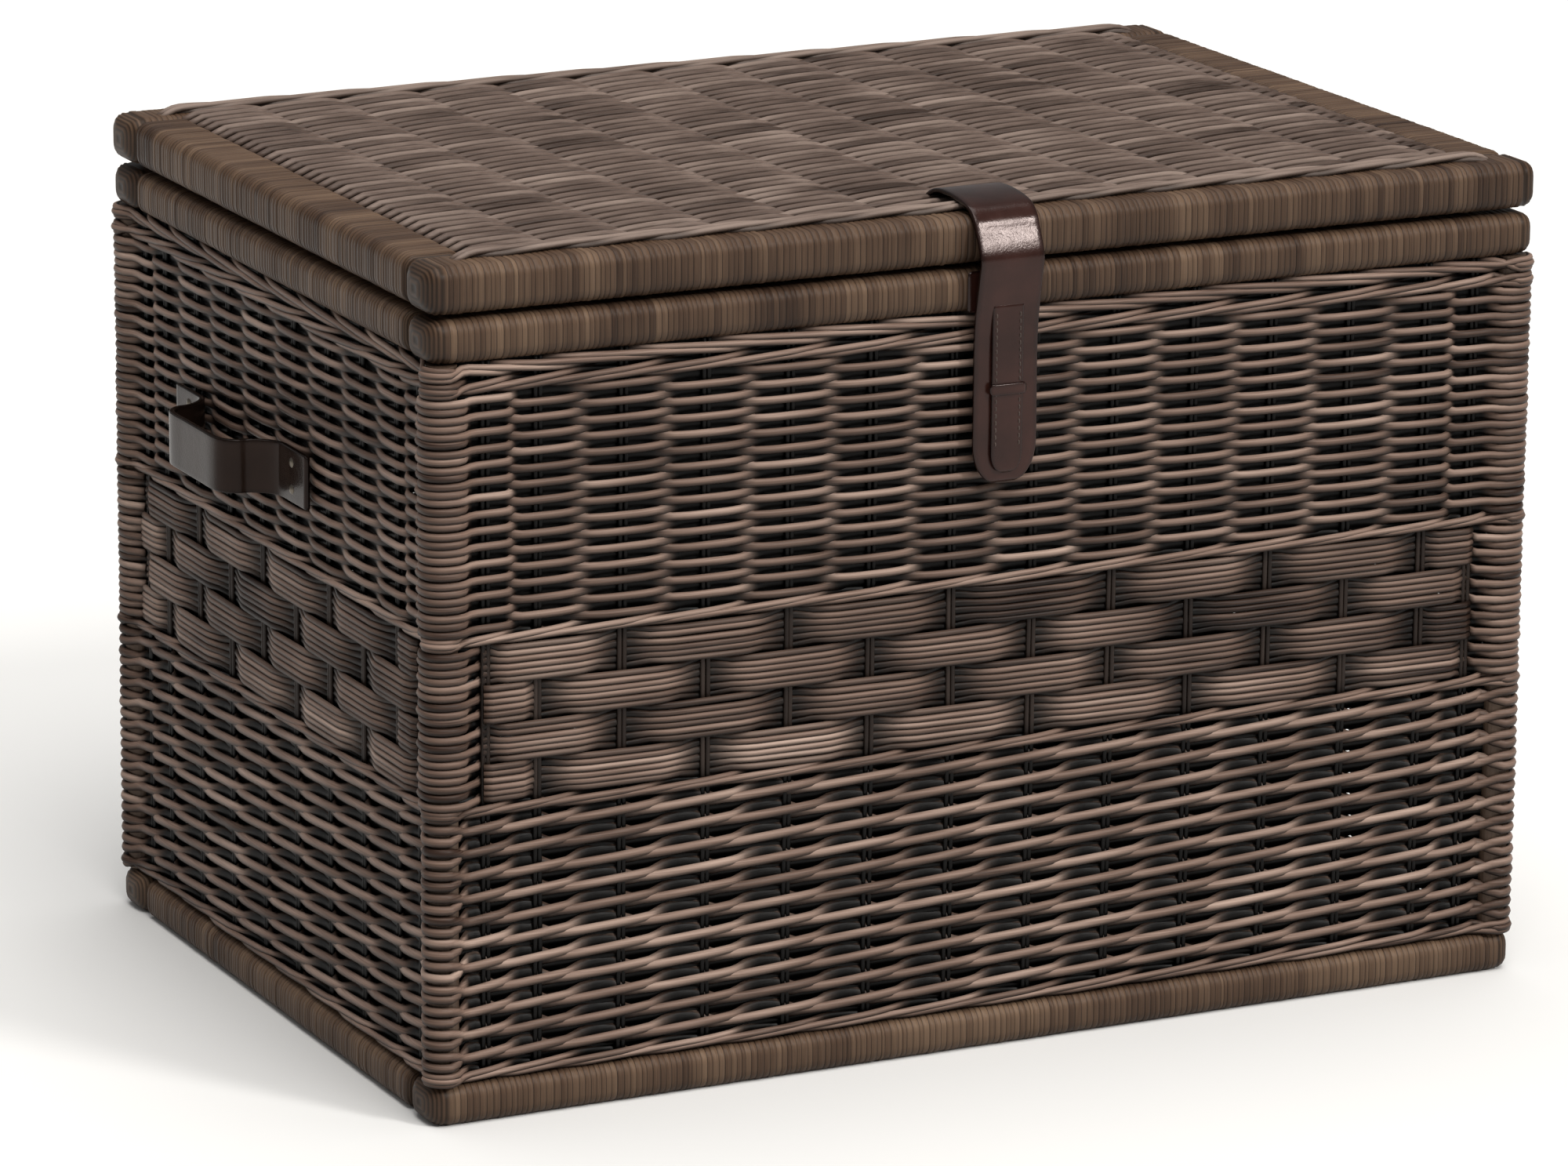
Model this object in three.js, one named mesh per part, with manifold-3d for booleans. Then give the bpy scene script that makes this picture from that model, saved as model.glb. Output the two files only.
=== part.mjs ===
// Wicker storage trunk: a woven body on a wrapped wooden frame, with a hinged woven lid,
// a leather closing strap, two leather carrying handles and a slotted lid stay.
// Millimetres. The origin is on the floor at the middle of the trunk.
// +X is to the right, +Y to the back and +Z up, so the front faces -Y.

import * as THREE from 'three';
import { mergeVertices } from 'three/addons/utils/BufferGeometryUtils.js';
import Module from 'manifold-3d';

const wasm = await Module();
wasm.setup();

// ---- Driving dimensions ----------------------------------------------------------------

const WIDTH = 712;                  // over the rails, left to right
const DEPTH = 483;                  // over the rails, front to back
const HEIGHT = 500;                 // floor to the top of the lid rails
const GAP = 0.3;                    // between touching pieces

const RAIL_DEPTH = 37;              // rail size towards the middle of the trunk
const RAIL_EDGE = 8;                // rounding of the rail edges
const BASE_RAIL_HEIGHT = 24;
const RIM_RAIL_HEIGHT = 25;
const LID_RAIL_HEIGHT = 28;
const LID_GAP = 3;                  // shadow gap under the closed lid

const WALL_THICKNESS = 13;
const WALL_SETBACK = 1.5;           // weave behind the rail faces
const POST_RADIUS = 9;
const POST_INSET = 10;              // post axis behind the rail faces

const PANEL_THICKNESS = 10;         // woven floor and lid panels
const BATTEN_WIDTH = 30;
const BATTEN_THICKNESS = 11.5;
const BATTEN_X = 150;               // battens left and right of the middle
const BATTEN_EDGE = 2;
const LID_PANEL_DROP = 1;           // lid weave below the top of its rails

const HINGE_X = 190;                // hinges left and right of the middle
const HINGE_WIDTH = 48;
const LEAF_THICKNESS = 1.6;
const LEAF_HEIGHT = 18;
const KNUCKLE_RADIUS = 4;
const KNUCKLE_BORE = 1.6;
const PIN_RADIUS = 1.5;
const KNUCKLE_COUNT = 3;
const KNUCKLE_SLACK = 0.4;          // end play between knuckles
const LEAF_CLEARANCE = 1;           // from the knuckle to the leaf's plate
const LEAF_SCREW_X = 14.4;          // screws either side of the middle of a leaf

const SCREW_HEAD_RADIUS = 2.6;
const SCREW_SHANK_RADIUS = 1.4;
const SCREW_LENGTH = 12;
const SCREW_HEAD_HEIGHT = 1.3;
const SCREW_FIT = 0.35;             // room around a screw
const SCREW_SINK = 0.1;             // head below the face of its plate
const SCREW_HOLE_RISE = 0.5;        // a hole's cutter stands proud of the face

const STAY_RADIUS = 110;            // pivot and stud distance from the lid hinge axis
const STAY_OFFSET = 11;             // pivot above and stud below the height of that axis
const LID_OPEN_DEG = 95;
const STAY_ARM_THICKNESS = 2.5;
const STAY_ARM_HALF_WIDTH = 6.5;
const STAY_STUD_RADIUS = 3;
const STAY_HEAD_RADIUS = 5.2;
const STAY_HEAD_THICKNESS = 1.3;
const STAY_PLAY = 0.4;              // between the arm and the plates and heads beside it
const STAY_PIVOT_FIT = 0.3;
const STAY_SLOT_SLACK = 0.6;
const STAY_ARM_TAIL = 10;           // arm past the far end of its slot
const STAY_SLOT_HALF_WIDTH = 3.4;
const STAY_PLATE_LENGTH = 32;
const STAY_PLATE_HEIGHT = 12;
const STAY_SCREW_SPACING = 22;

const STRAP_WIDTH = 41;
const STRAP_THICKNESS = 3;
const STRAP_TIP_Z = 344;
const STRAP_TIP = { length: 24, width: 16 };
const STRAP_PLAY = 0.4;             // between the strap and its backing
const STRAP_JOINT_Z = 491;          // the strap bends here when it is lifted
const STRAP_SLIT_Y = -181;          // where it comes up through the lid weave
const STRAP_SLIT_LENGTH = 8;
const STRAP_UNDER_LENGTH = 32;      // end of the strap below the lid weave
const STRAP_UNDER_DROP = 1;
const STRAP_RISE = 7.5;             // highest point of its middle line above the lid rails
const BACKING_WIDTH = 46;
const BACKING_THICKNESS = 2;
const BACKING_MARGIN = 1;           // shorter than the rim rail by this much
const TONGUE_WIDTH = 20;            // stitched strip on the face of the strap
const TONGUE_THICKNESS = 2.3;
const TONGUE_TOP_Z = 450;
const TONGUE_TIP = { length: 12, width: 9 };
const TONGUE_END = 6;               // its tip above the strap's tip
const MAGNET_RADIUS = 8;
const MAGNET_THICKNESS = 1.2;
const MAGNET_Z = 456;

const HANDLE_Y = 35;                // middle of each handle
const HANDLE_Z = 338;
const HANDLE_HEIGHT = 32;
const HANDLE_SPAN = 111;            // between the two roots
const HANDLE_REACH = 33;            // how far the loop stands off the wall
const HANDLE_THICKNESS = 3.5;
const HANDLE_BEND = 16;
const HANDLE_SLANT = 10;            // the legs lean in this much towards the grip
const HANDLE_BEND_STEPS = 6;
const HANDLE_PLAY = 0.4;            // between a foot's face and the roots of the loop
const FOOT_LENGTH = 42;
const FOOT_THICKNESS = 3;
const FOOT_EDGE = 1;
const FOOT_MARGIN = 3;              // from a root of the loop to its foot
const RIVET_RADIUS = 3.4;
const RIVET_RISE = 1.2;
const RIVET_Z = 8;                  // rivets above and below the middle of a foot

// ---- Derived places --------------------------------------------------------------------

const halfWidth = WIDTH / 2;
const halfDepth = DEPTH / 2;
const lidBottom = HEIGHT - LID_RAIL_HEIGHT;
const rimTop = lidBottom - LID_GAP;
const rimBottom = rimTop - RIM_RAIL_HEIGHT;
const hingeY = halfDepth + GAP + KNUCKLE_RADIUS;
const hingeZ = (rimTop + lidBottom) / 2;
const innerHalfWidth = halfWidth - RAIL_DEPTH;
const innerHalfDepth = halfDepth - RAIL_DEPTH;

// ---- Materials -------------------------------------------------------------------------

const finish = (color, roughness, metalness = 0) =>
  new THREE.MeshStandardMaterial({ color, roughness, metalness });
const wrappedRail = () => finish(0x4a392c, 0.55);
const reed = () => finish(0x3d302a, 0.5);
const pole = () => finish(0x46362b, 0.55);
const batten = () => finish(0x5a4433, 0.7);
const leather = () => finish(0x2f1f1b, 0.42);
const antiqueSteel = () => finish(0x5c5348, 0.4, 0.9);
const magnetSteel = () => finish(0x8f8f8c, 0.35, 0.9);

// ---- Solids ----------------------------------------------------------------------------

function toSolid(geometry) {
  const bare = geometry.clone();
  for (const name of ['normal', 'uv']) bare.deleteAttribute(name);
  const merged = mergeVertices(bare.index ? bare.toNonIndexed() : bare, 1e-4);
  return new wasm.Manifold(new wasm.Mesh({
    numProp: 3,
    vertProperties: new Float32Array(merged.attributes.position.array),
    triVerts: new Uint32Array(merged.index.array),
  }));
}

function toGeometry(solid) {
  const mesh = solid.getMesh();
  const geometry = new THREE.BufferGeometry();
  geometry.setAttribute('position', new THREE.BufferAttribute(mesh.vertProperties, 3));
  geometry.setIndex(new THREE.BufferAttribute(mesh.triVerts, 1));
  geometry.computeVertexNormals();
  return geometry;
}

function cut(geometry, cutters) {
  let solid = toSolid(geometry);
  for (const cutter of cutters) solid = solid.subtract(toSolid(cutter));
  return toGeometry(solid);
}

function join(geometries) {
  return toGeometry(geometries.map(toSolid).reduce((sum, solid) => sum.add(solid)));
}

function roundedRectangle(width, height, radius) {
  const x = width / 2 - radius;
  const y = height / 2 - radius;
  const shape = new THREE.Shape();
  shape.absarc(x, y, radius, 0, Math.PI / 2);
  shape.absarc(-x, y, radius, Math.PI / 2, Math.PI);
  shape.absarc(-x, -y, radius, Math.PI, 1.5 * Math.PI);
  shape.absarc(x, -y, radius, 1.5 * Math.PI, 2 * Math.PI);
  shape.closePath();
  return shape;
}

// A bar lying along X with all its edges rounded, centred on the origin.
function roundedBar(length, depth, height, radius, bevelSegments = 3) {
  // The outline's corners are a little rounder than the edges, so that the bevel keeps its shape.
  const cornerRadius = radius + 0.5;
  const geometry = new THREE.ExtrudeGeometry(roundedRectangle(length, depth, cornerRadius), {
    depth: height - 2 * radius,
    curveSegments: 2,
    bevelEnabled: true,
    bevelSize: radius,
    bevelThickness: radius,
    bevelOffset: -radius,
    bevelSegments,
  });
  return geometry.translate(0, 0, radius - height / 2);
}

const block = (x, y, z) => new THREE.BoxGeometry(x, y, z);

// An outline in X and Z given a thickness along Y, centred on Y = 0.
function uprightPlate(shape, thickness, curveSegments = 10) {
  const options = { depth: thickness, bevelEnabled: false, curveSegments };
  return new THREE.ExtrudeGeometry(shape, options)
    .translate(0, 0, -thickness / 2)
    .rotateX(Math.PI / 2);
}

// A ribbon of even thickness along a flat route of (a, b) points.
function ribbonShape(points, thickness) {
  const left = [];
  const right = [];
  points.forEach((point, i) => {
    const before = points[Math.max(i - 1, 0)];
    const after = points[Math.min(i + 1, points.length - 1)];
    const along = after.clone().sub(before).normalize();
    const side = new THREE.Vector2(-along.y, along.x).multiplyScalar(thickness / 2);
    left.push(point.clone().add(side));
    right.unshift(point.clone().sub(side));
  });
  return new THREE.Shape([...left, ...right]);
}

function smoothRoute(corners, steps) {
  return new THREE.SplineCurve(corners.map(([a, b]) => new THREE.Vector2(a, b))).getPoints(steps);
}

// A cylinder along Y, from y0 to y1.
function cylinderAlongY(radius, y0, y1, segments = 24) {
  return new THREE.CylinderGeometry(radius, radius, Math.abs(y1 - y0), segments)
    .translate(0, (y0 + y1) / 2, 0);
}

function cylinderAlongX(radius, x0, x1, segments = 24) {
  return new THREE.CylinderGeometry(radius, radius, Math.abs(x1 - x0), segments)
    .rotateZ(Math.PI / 2)
    .translate((x0 + x1) / 2, 0, 0);
}

// ---- Screws: countersunk, head at the origin, shank along -Z ------------------------------

function screwProfile(room) {
  const head = SCREW_HEAD_RADIUS + room;
  const shank = SCREW_SHANK_RADIUS + room;
  const end = -SCREW_LENGTH - room;
  return [[0, end], [shank, end], [shank, -SCREW_HEAD_HEIGHT - room], [head, 0]];
}

function screwLathe(profile) {
  const points = profile.map(([radius, z]) => new THREE.Vector2(radius, z));
  return new THREE.LatheGeometry(points, 12).rotateX(Math.PI / 2);
}

const screwGeometry = () => screwLathe([...screwProfile(0), [0, 0]]);

function screwHole() {
  const profile = screwProfile(SCREW_FIT);
  const [head] = profile.at(-1);
  return screwLathe([...profile, [head, SCREW_HOLE_RISE], [0, SCREW_HOLE_RISE]]);
}

// Turns a screw so that it points from its head along the given direction.
function aimScrew(geometry, place, direction) {
  const turn = new THREE.Quaternion().setFromUnitVectors(
    new THREE.Vector3(0, 0, -1), new THREE.Vector3(...direction));
  return geometry.applyQuaternion(turn).translate(...place);
}

// ---- The scene graph -------------------------------------------------------------------

const trunk = new THREE.Group();
const assembly = new THREE.Group();
const lid = new THREE.Group();
const closure = new THREE.Group();
trunk.add(assembly, lid, closure);

function addPiece(group, name, geometry, material, place = [0, 0, 0]) {
  const mesh = new THREE.Mesh(geometry, material);
  mesh.name = name;
  mesh.position.set(...place);
  group.add(mesh);
  return mesh;
}

// ---- Screw places ----------------------------------------------------------------------

const leafFace = halfDepth + GAP + LEAF_THICKNESS;
const leafOffset = KNUCKLE_RADIUS + LEAF_CLEARANCE + LEAF_HEIGHT / 2;
const hingeScrewPlaces = (centreZ) =>
  [-1, 1].flatMap((hinge) => [-1, 1].map((side) => ({
    hinge,
    side,
    place: [hinge * HINGE_X + side * LEAF_SCREW_X, leafFace - SCREW_SINK, centreZ],
  })));
const bodyHingeScrews = hingeScrewPlaces(hingeZ - leafOffset);
const lidHingeScrews = hingeScrewPlaces(hingeZ + leafOffset);

const stayY = hingeY - Math.sqrt(STAY_RADIUS ** 2 - STAY_OFFSET ** 2);
const stayPivotZ = hingeZ + STAY_OFFSET;
const stayStudZ = hingeZ - STAY_OFFSET;
const stayPlateFace = innerHalfWidth - GAP - LEAF_THICKNESS;
const stayScrewPlaces = (z) =>
  [-1, 1].map((side) => ({
    side,
    place: [stayPlateFace + SCREW_SINK, stayY + side * STAY_SCREW_SPACING / 2, z],
  }));
const bodyStayScrews = stayScrewPlaces(stayStudZ);
const lidStayScrews = stayScrewPlaces(stayPivotZ);

const INTO_BACK = [0, -1, 0];
const INTO_RIGHT = [1, 0, 0];
const holesFor = (places, direction) =>
  places.map(({ place }) => aimScrew(screwHole(), place, direction));

// ---- Rails: front and back run full width, sides fit between them -------------------------

const sideRailLength = DEPTH - 2 * RAIL_DEPTH - 2 * GAP;
const railCentreY = halfDepth - RAIL_DEPTH / 2;
const railCentreX = halfWidth - RAIL_DEPTH / 2;

function addRails(group, prefix, bottom, height, holes) {
  const z = bottom + height / 2;
  for (const [side, sign] of [['front', -1], ['back', 1]]) {
    const bar = roundedBar(WIDTH, RAIL_DEPTH, height, RAIL_EDGE)
      .translate(0, sign * railCentreY, z);
    addPiece(group, `${prefix}_${side}`, cut(bar, holes[side] ?? []), wrappedRail());
  }
  for (const [side, sign] of [['left', -1], ['right', 1]]) {
    const bar = roundedBar(sideRailLength, RAIL_DEPTH, height, RAIL_EDGE)
      .rotateZ(Math.PI / 2)
      .translate(sign * railCentreX, 0, z);
    addPiece(group, `${prefix}_${side}`, cut(bar, holes[side] ?? []), wrappedRail());
  }
}

addRails(assembly, 'base_rail', 0, BASE_RAIL_HEIGHT, {});
addRails(assembly, 'rim_rail', rimBottom, RIM_RAIL_HEIGHT, {
  back: holesFor(bodyHingeScrews, INTO_BACK),
  right: holesFor(bodyStayScrews, INTO_RIGHT),
});
addRails(lid, 'lid_rail', lidBottom, LID_RAIL_HEIGHT, {
  back: holesFor(lidHingeScrews, INTO_BACK),
  right: holesFor(lidStayScrews, INTO_RIGHT),
});

// ---- Woven body: posts, walls and floor ---------------------------------------------------

const wallBottom = BASE_RAIL_HEIGHT + GAP;
const wallHeight = rimBottom - GAP - wallBottom;
const wallMiddle = wallBottom + wallHeight / 2;
const postX = halfWidth - POST_INSET;
const postY = halfDepth - POST_INSET;

for (const [frontBack, signY] of [['front', -1], ['back', 1]]) {
  for (const [leftRight, signX] of [['left', -1], ['right', 1]]) {
    const post = new THREE.CylinderGeometry(POST_RADIUS, POST_RADIUS, wallHeight, 24)
      .rotateX(Math.PI / 2);
    const place = [signX * postX, signY * postY, wallMiddle];
    addPiece(assembly, `corner_post_${frontBack}_${leftRight}`, post, pole(), place);
  }
}

const wallCentreX = halfWidth - WALL_SETBACK - WALL_THICKNESS / 2;
const wallCentreY = halfDepth - WALL_SETBACK - WALL_THICKNESS / 2;
const frontWallLength = 2 * (postX - POST_RADIUS - GAP);
const sideWallLength = 2 * (postY - POST_RADIUS - GAP);

for (const [side, sign] of [['front', -1], ['back', 1]]) {
  const wall = block(frontWallLength, WALL_THICKNESS, wallHeight);
  addPiece(assembly, `wall_${side}`, wall, reed(), [0, sign * wallCentreY, wallMiddle]);
}
for (const [side, sign] of [['left', -1], ['right', 1]]) {
  const wall = block(WALL_THICKNESS, sideWallLength, wallHeight);
  addPiece(assembly, `wall_${side}`, wall, reed(), [sign * wallCentreX, 0, wallMiddle]);
}

const panelWidth = 2 * (innerHalfWidth - GAP);
const panelDepth = 2 * (innerHalfDepth - GAP);
const floorZ = BASE_RAIL_HEIGHT - PANEL_THICKNESS / 2;
addPiece(assembly, 'floor_panel', block(panelWidth, panelDepth, PANEL_THICKNESS), reed(),
  [0, 0, floorZ]);

function addBattens(group, prefix, topZ) {
  for (const [side, sign] of [['left', -1], ['right', 1]]) {
    const bar = roundedBar(panelDepth, BATTEN_WIDTH, BATTEN_THICKNESS, BATTEN_EDGE, 1)
      .rotateZ(Math.PI / 2);
    addPiece(group, `${prefix}_${side}`, bar, batten(),
      [sign * BATTEN_X, 0, topZ - BATTEN_THICKNESS / 2]);
  }
}

addBattens(assembly, 'floor_batten', floorZ - PANEL_THICKNESS / 2 - GAP);

// ---- Woven lid: panel with a slit for the strap, battens below it ---------------------------

const lidPanelTop = HEIGHT - LID_PANEL_DROP;
const lidPanelBottom = lidPanelTop - PANEL_THICKNESS;
const slit = block(STRAP_WIDTH + 4 * GAP, STRAP_SLIT_LENGTH, 3 * PANEL_THICKNESS)
  .translate(0, STRAP_SLIT_Y, lidPanelTop);
const lidPanel = block(panelWidth, panelDepth, PANEL_THICKNESS)
  .translate(0, 0, lidPanelTop - PANEL_THICKNESS / 2);
addPiece(lid, 'lid_panel', cut(lidPanel, [slit]), reed());
addBattens(lid, 'lid_batten', lidPanelBottom - GAP);

// ---- Hinges: the body leaf has the outer knuckles and the lid leaf the middle one -----------

const knucklePitch = HINGE_WIDTH / KNUCKLE_COUNT;

function knuckle(index, wallSide, direction) {
  const first = -HINGE_WIDTH / 2 + index * knucklePitch;
  const x0 = first + (index > 0 ? KNUCKLE_SLACK / 2 : 0);
  const x1 = first + knucklePitch - (index < KNUCKLE_COUNT - 1 ? KNUCKLE_SLACK / 2 : 0);
  const reach = KNUCKLE_RADIUS + 2 * LEAF_CLEARANCE;
  const web = block(x1 - x0, LEAF_THICKNESS, reach)
    .translate((x0 + x1) / 2, wallSide, direction * reach / 2);
  return [cylinderAlongX(KNUCKLE_RADIUS, x0, x1), web];
}

// A leaf lies above (direction 1) or below (-1) the hinge axis, which runs through the origin.
function hingeLeaf(direction, knuckles) {
  const wallSide = -KNUCKLE_RADIUS + LEAF_THICKNESS / 2;
  const plateCentre = direction * leafOffset;
  const plate = block(HINGE_WIDTH, LEAF_THICKNESS, LEAF_HEIGHT)
    .translate(0, wallSide, plateCentre);
  const parts = [plate, ...knuckles.flatMap((index) => knuckle(index, wallSide, direction))];
  const bore = cylinderAlongX(KNUCKLE_BORE, -HINGE_WIDTH, HINGE_WIDTH);
  const screwY = -KNUCKLE_RADIUS + LEAF_THICKNESS - SCREW_SINK;
  const holes = [-LEAF_SCREW_X, LEAF_SCREW_X].map((x) =>
    aimScrew(screwHole(), [x, screwY, plateCentre], INTO_BACK));
  return cut(join(parts), [bore, ...holes]);
}

for (const [side, sign] of [['left', -1], ['right', 1]]) {
  const place = [sign * HINGE_X, hingeY, hingeZ];
  addPiece(assembly, `hinge_body_leaf_${side}`, hingeLeaf(-1, [0, 2]), antiqueSteel(), place);
  addPiece(lid, `hinge_lid_leaf_${side}`, hingeLeaf(1, [1]), antiqueSteel(), place);
  const pin = cylinderAlongX(PIN_RADIUS, -HINGE_WIDTH / 2, HINGE_WIDTH / 2);
  addPiece(assembly, `hinge_pin_${side}`, pin, antiqueSteel(), place);
}

function addScrews(group, prefix, places, direction, label) {
  for (const entry of places) {
    const screw = aimScrew(screwGeometry(), [0, 0, 0], direction);
    addPiece(group, `${prefix}_${label(entry)}`, screw, antiqueSteel(), entry.place);
  }
}

const hingeLabel = ({ hinge, side }) =>
  `${hinge < 0 ? 'left' : 'right'}_${hinge * side > 0 ? 'outer' : 'inner'}`;
const stayLabel = ({ side }) => (side < 0 ? 'front' : 'back');
addScrews(assembly, 'hinge_body_screw', bodyHingeScrews, INTO_BACK, hingeLabel);
addScrews(lid, 'hinge_lid_screw', lidHingeScrews, INTO_BACK, hingeLabel);
addScrews(assembly, 'stay_body_screw', bodyStayScrews, INTO_RIGHT, stayLabel);
addScrews(lid, 'stay_lid_screw', lidStayScrews, INTO_RIGHT, stayLabel);

// ---- Lid stay: a slotted arm pivots on the lid and slides on a stud on the rim --------------

const stayArmFar = stayPlateFace - STAY_PLAY;
const stayArmNear = stayArmFar - STAY_ARM_THICKNESS;
const studHeadFar = stayArmNear - STAY_PLAY;
const studHeadNear = studHeadFar - STAY_HEAD_THICKNESS;

function stayBracket() {
  const plate = block(LEAF_THICKNESS, STAY_PLATE_LENGTH, STAY_PLATE_HEIGHT)
    .translate(stayPlateFace + LEAF_THICKNESS / 2, 0, 0);
  // The neck runs a little way into the plate and the head, so that they join as one solid.
  const overlap = STAY_PLAY;
  const neck = cylinderAlongX(STAY_STUD_RADIUS, studHeadFar - overlap, stayPlateFace + overlap);
  const head = cylinderAlongX(STAY_HEAD_RADIUS, studHeadNear, studHeadFar);
  const holes = [-1, 1].map((side) => aimScrew(
    screwHole(), [stayPlateFace + SCREW_SINK, side * STAY_SCREW_SPACING / 2, 0], INTO_RIGHT));
  return cut(join([plate, neck, head]), holes);
}

addPiece(assembly, 'stay_body_bracket', stayBracket(), antiqueSteel(), [0, stayY, stayStudZ]);
addPiece(lid, 'stay_lid_bracket', stayBracket(), antiqueSteel(), [0, stayY, stayPivotZ]);

// Distance from the arm's pivot to the stud with the lid shut and wide open.
const restAngle = Math.asin(STAY_OFFSET / STAY_RADIUS);
const openAngle = restAngle + THREE.MathUtils.degToRad(LID_OPEN_DEG) / 2;
const stayShut = 2 * STAY_RADIUS * Math.sin(restAngle);
const stayOpen = 2 * STAY_RADIUS * Math.sin(openAngle);

function stadium(start, end, radius, PathType) {
  const path = new PathType();
  path.absarc(-start, 0, radius, -Math.PI / 2, Math.PI / 2);
  path.absarc(-end, 0, radius, Math.PI / 2, 1.5 * Math.PI);
  path.closePath();
  return path;
}

function stayArm() {
  const outline = stadium(0, stayOpen + STAY_ARM_TAIL, STAY_ARM_HALF_WIDTH, THREE.Shape);
  const pivotHole = new THREE.Path();
  pivotHole.absarc(0, 0, STAY_STUD_RADIUS + STAY_PIVOT_FIT, 0, 2 * Math.PI);
  const slotStart = stayShut - STAY_SLOT_SLACK;
  const slotEnd = stayOpen + STAY_SLOT_SLACK;
  const slot = stadium(slotStart, slotEnd, STAY_SLOT_HALF_WIDTH, THREE.Path);
  outline.holes.push(pivotHole, slot);
  const options = { depth: STAY_ARM_THICKNESS, bevelEnabled: false, curveSegments: 10 };
  // The outline's length lies along -X, so it is turned to hang down, flat against the rail.
  return new THREE.ExtrudeGeometry(outline, options)
    .rotateY(-Math.PI / 2)
    .translate(stayArmFar, 0, 0);
}

addPiece(lid, 'stay_arm', stayArm(), antiqueSteel(), [0, stayY, stayPivotZ]);

// ---- Leather strap: anchored in the lid, hanging over the front, held by two magnets --------

const backingFar = -(halfDepth + GAP);
const backingNear = backingFar - BACKING_THICKNESS;
const strapFar = backingNear - STRAP_PLAY;
const strapNear = strapFar - STRAP_THICKNESS;
const strapMiddle = (strapFar + strapNear) / 2;
const tongueFar = strapNear - GAP;

// From its end below the lid weave, up through the slit, over the front rail and down to the
// joint, as a middle line in Y and Z.
function strapAnchor() {
  const under = lidPanelBottom - STRAP_UNDER_DROP - STRAP_THICKNESS / 2;
  const route = smoothRoute([
    [STRAP_SLIT_Y + STRAP_UNDER_LENGTH, under],
    [STRAP_SLIT_Y + 7, under],
    [STRAP_SLIT_Y + 1.4, under + 1.4],
    [STRAP_SLIT_Y, under + 6],
    [STRAP_SLIT_Y - 1.2, lidPanelTop + 1],
    [STRAP_SLIT_Y - 14, HEIGHT + STRAP_RISE - 0.5],
    [STRAP_SLIT_Y - 34, HEIGHT + STRAP_RISE],
    [-halfDepth + 6, HEIGHT + STRAP_RISE / 2],
    [strapMiddle + 1.2, HEIGHT - 3],
    [strapMiddle, STRAP_JOINT_Z + 2],
    [strapMiddle, STRAP_JOINT_Z + GAP],
  ], 40);
  const options = { depth: STRAP_WIDTH, bevelEnabled: false };
  return new THREE.ExtrudeGeometry(ribbonShape(route, STRAP_THICKNESS), options)
    .translate(0, 0, -STRAP_WIDTH / 2)
    .rotateX(Math.PI / 2)
    .rotateZ(Math.PI / 2);
}

// A hanging strip whose lower end narrows to a rounded tip, from z = 0 down to -length.
function tippedStrip(width, length, tip) {
  const half = width / 2;
  const shoulder = -length + tip.length;
  const bend = -length + tip.length * 0.3;
  const shape = new THREE.Shape();
  shape.moveTo(half, 0);
  shape.lineTo(-half, 0);
  shape.lineTo(-half, shoulder);
  shape.quadraticCurveTo(-half, bend, -tip.width / 2, -length);
  shape.lineTo(tip.width / 2, -length);
  shape.quadraticCurveTo(half, bend, half, shoulder);
  shape.closePath();
  return shape;
}

const tailLength = STRAP_JOINT_Z - STRAP_TIP_Z;
const magnetPocket = (y0, y1) =>
  cylinderAlongY(MAGNET_RADIUS + GAP, y0, y1).translate(0, 0, MAGNET_Z);
const pocketDepth = MAGNET_THICKNESS + GAP;

const tail = uprightPlate(tippedStrip(STRAP_WIDTH, tailLength, STRAP_TIP), STRAP_THICKNESS)
  .translate(0, strapMiddle, STRAP_JOINT_Z);
const tailPocket = magnetPocket(strapFar + pocketDepth, strapFar - pocketDepth);
addPiece(closure, 'strap_tail', cut(tail, [tailPocket]), leather());
addPiece(closure, 'strap_magnet', cylinderAlongY(MAGNET_RADIUS, 0, MAGNET_THICKNESS),
  magnetSteel(), [0, strapFar - MAGNET_THICKNESS, MAGNET_Z]);

const tongueLength = TONGUE_TOP_Z - STRAP_TIP_Z - TONGUE_END;
const tongue = uprightPlate(tippedStrip(TONGUE_WIDTH, tongueLength, TONGUE_TIP), TONGUE_THICKNESS);
addPiece(closure, 'strap_tongue', tongue, leather(),
  [0, tongueFar - TONGUE_THICKNESS / 2, TONGUE_TOP_Z]);

const backing = block(BACKING_WIDTH, BACKING_THICKNESS, RIM_RAIL_HEIGHT - BACKING_MARGIN)
  .translate(0, (backingFar + backingNear) / 2, rimBottom + RIM_RAIL_HEIGHT / 2);
const backingPocket = magnetPocket(backingNear - pocketDepth, backingNear + pocketDepth);
addPiece(assembly, 'strap_backing', cut(backing, [backingPocket]), leather());
addPiece(assembly, 'body_magnet', cylinderAlongY(MAGNET_RADIUS, 0, MAGNET_THICKNESS),
  magnetSteel(), [0, backingNear, MAGNET_Z]);

addPiece(lid, 'strap_anchor', strapAnchor(), leather());

// ---- Leather handles: a stiff loop between two riveted feet on each side --------------------

const handleFootFar = halfWidth - WALL_SETBACK + GAP;
const handleFootNear = handleFootFar + FOOT_THICKNESS;
const handleRootX = handleFootNear + HANDLE_PLAY;
const loopOutX = halfWidth + HANDLE_REACH;

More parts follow.
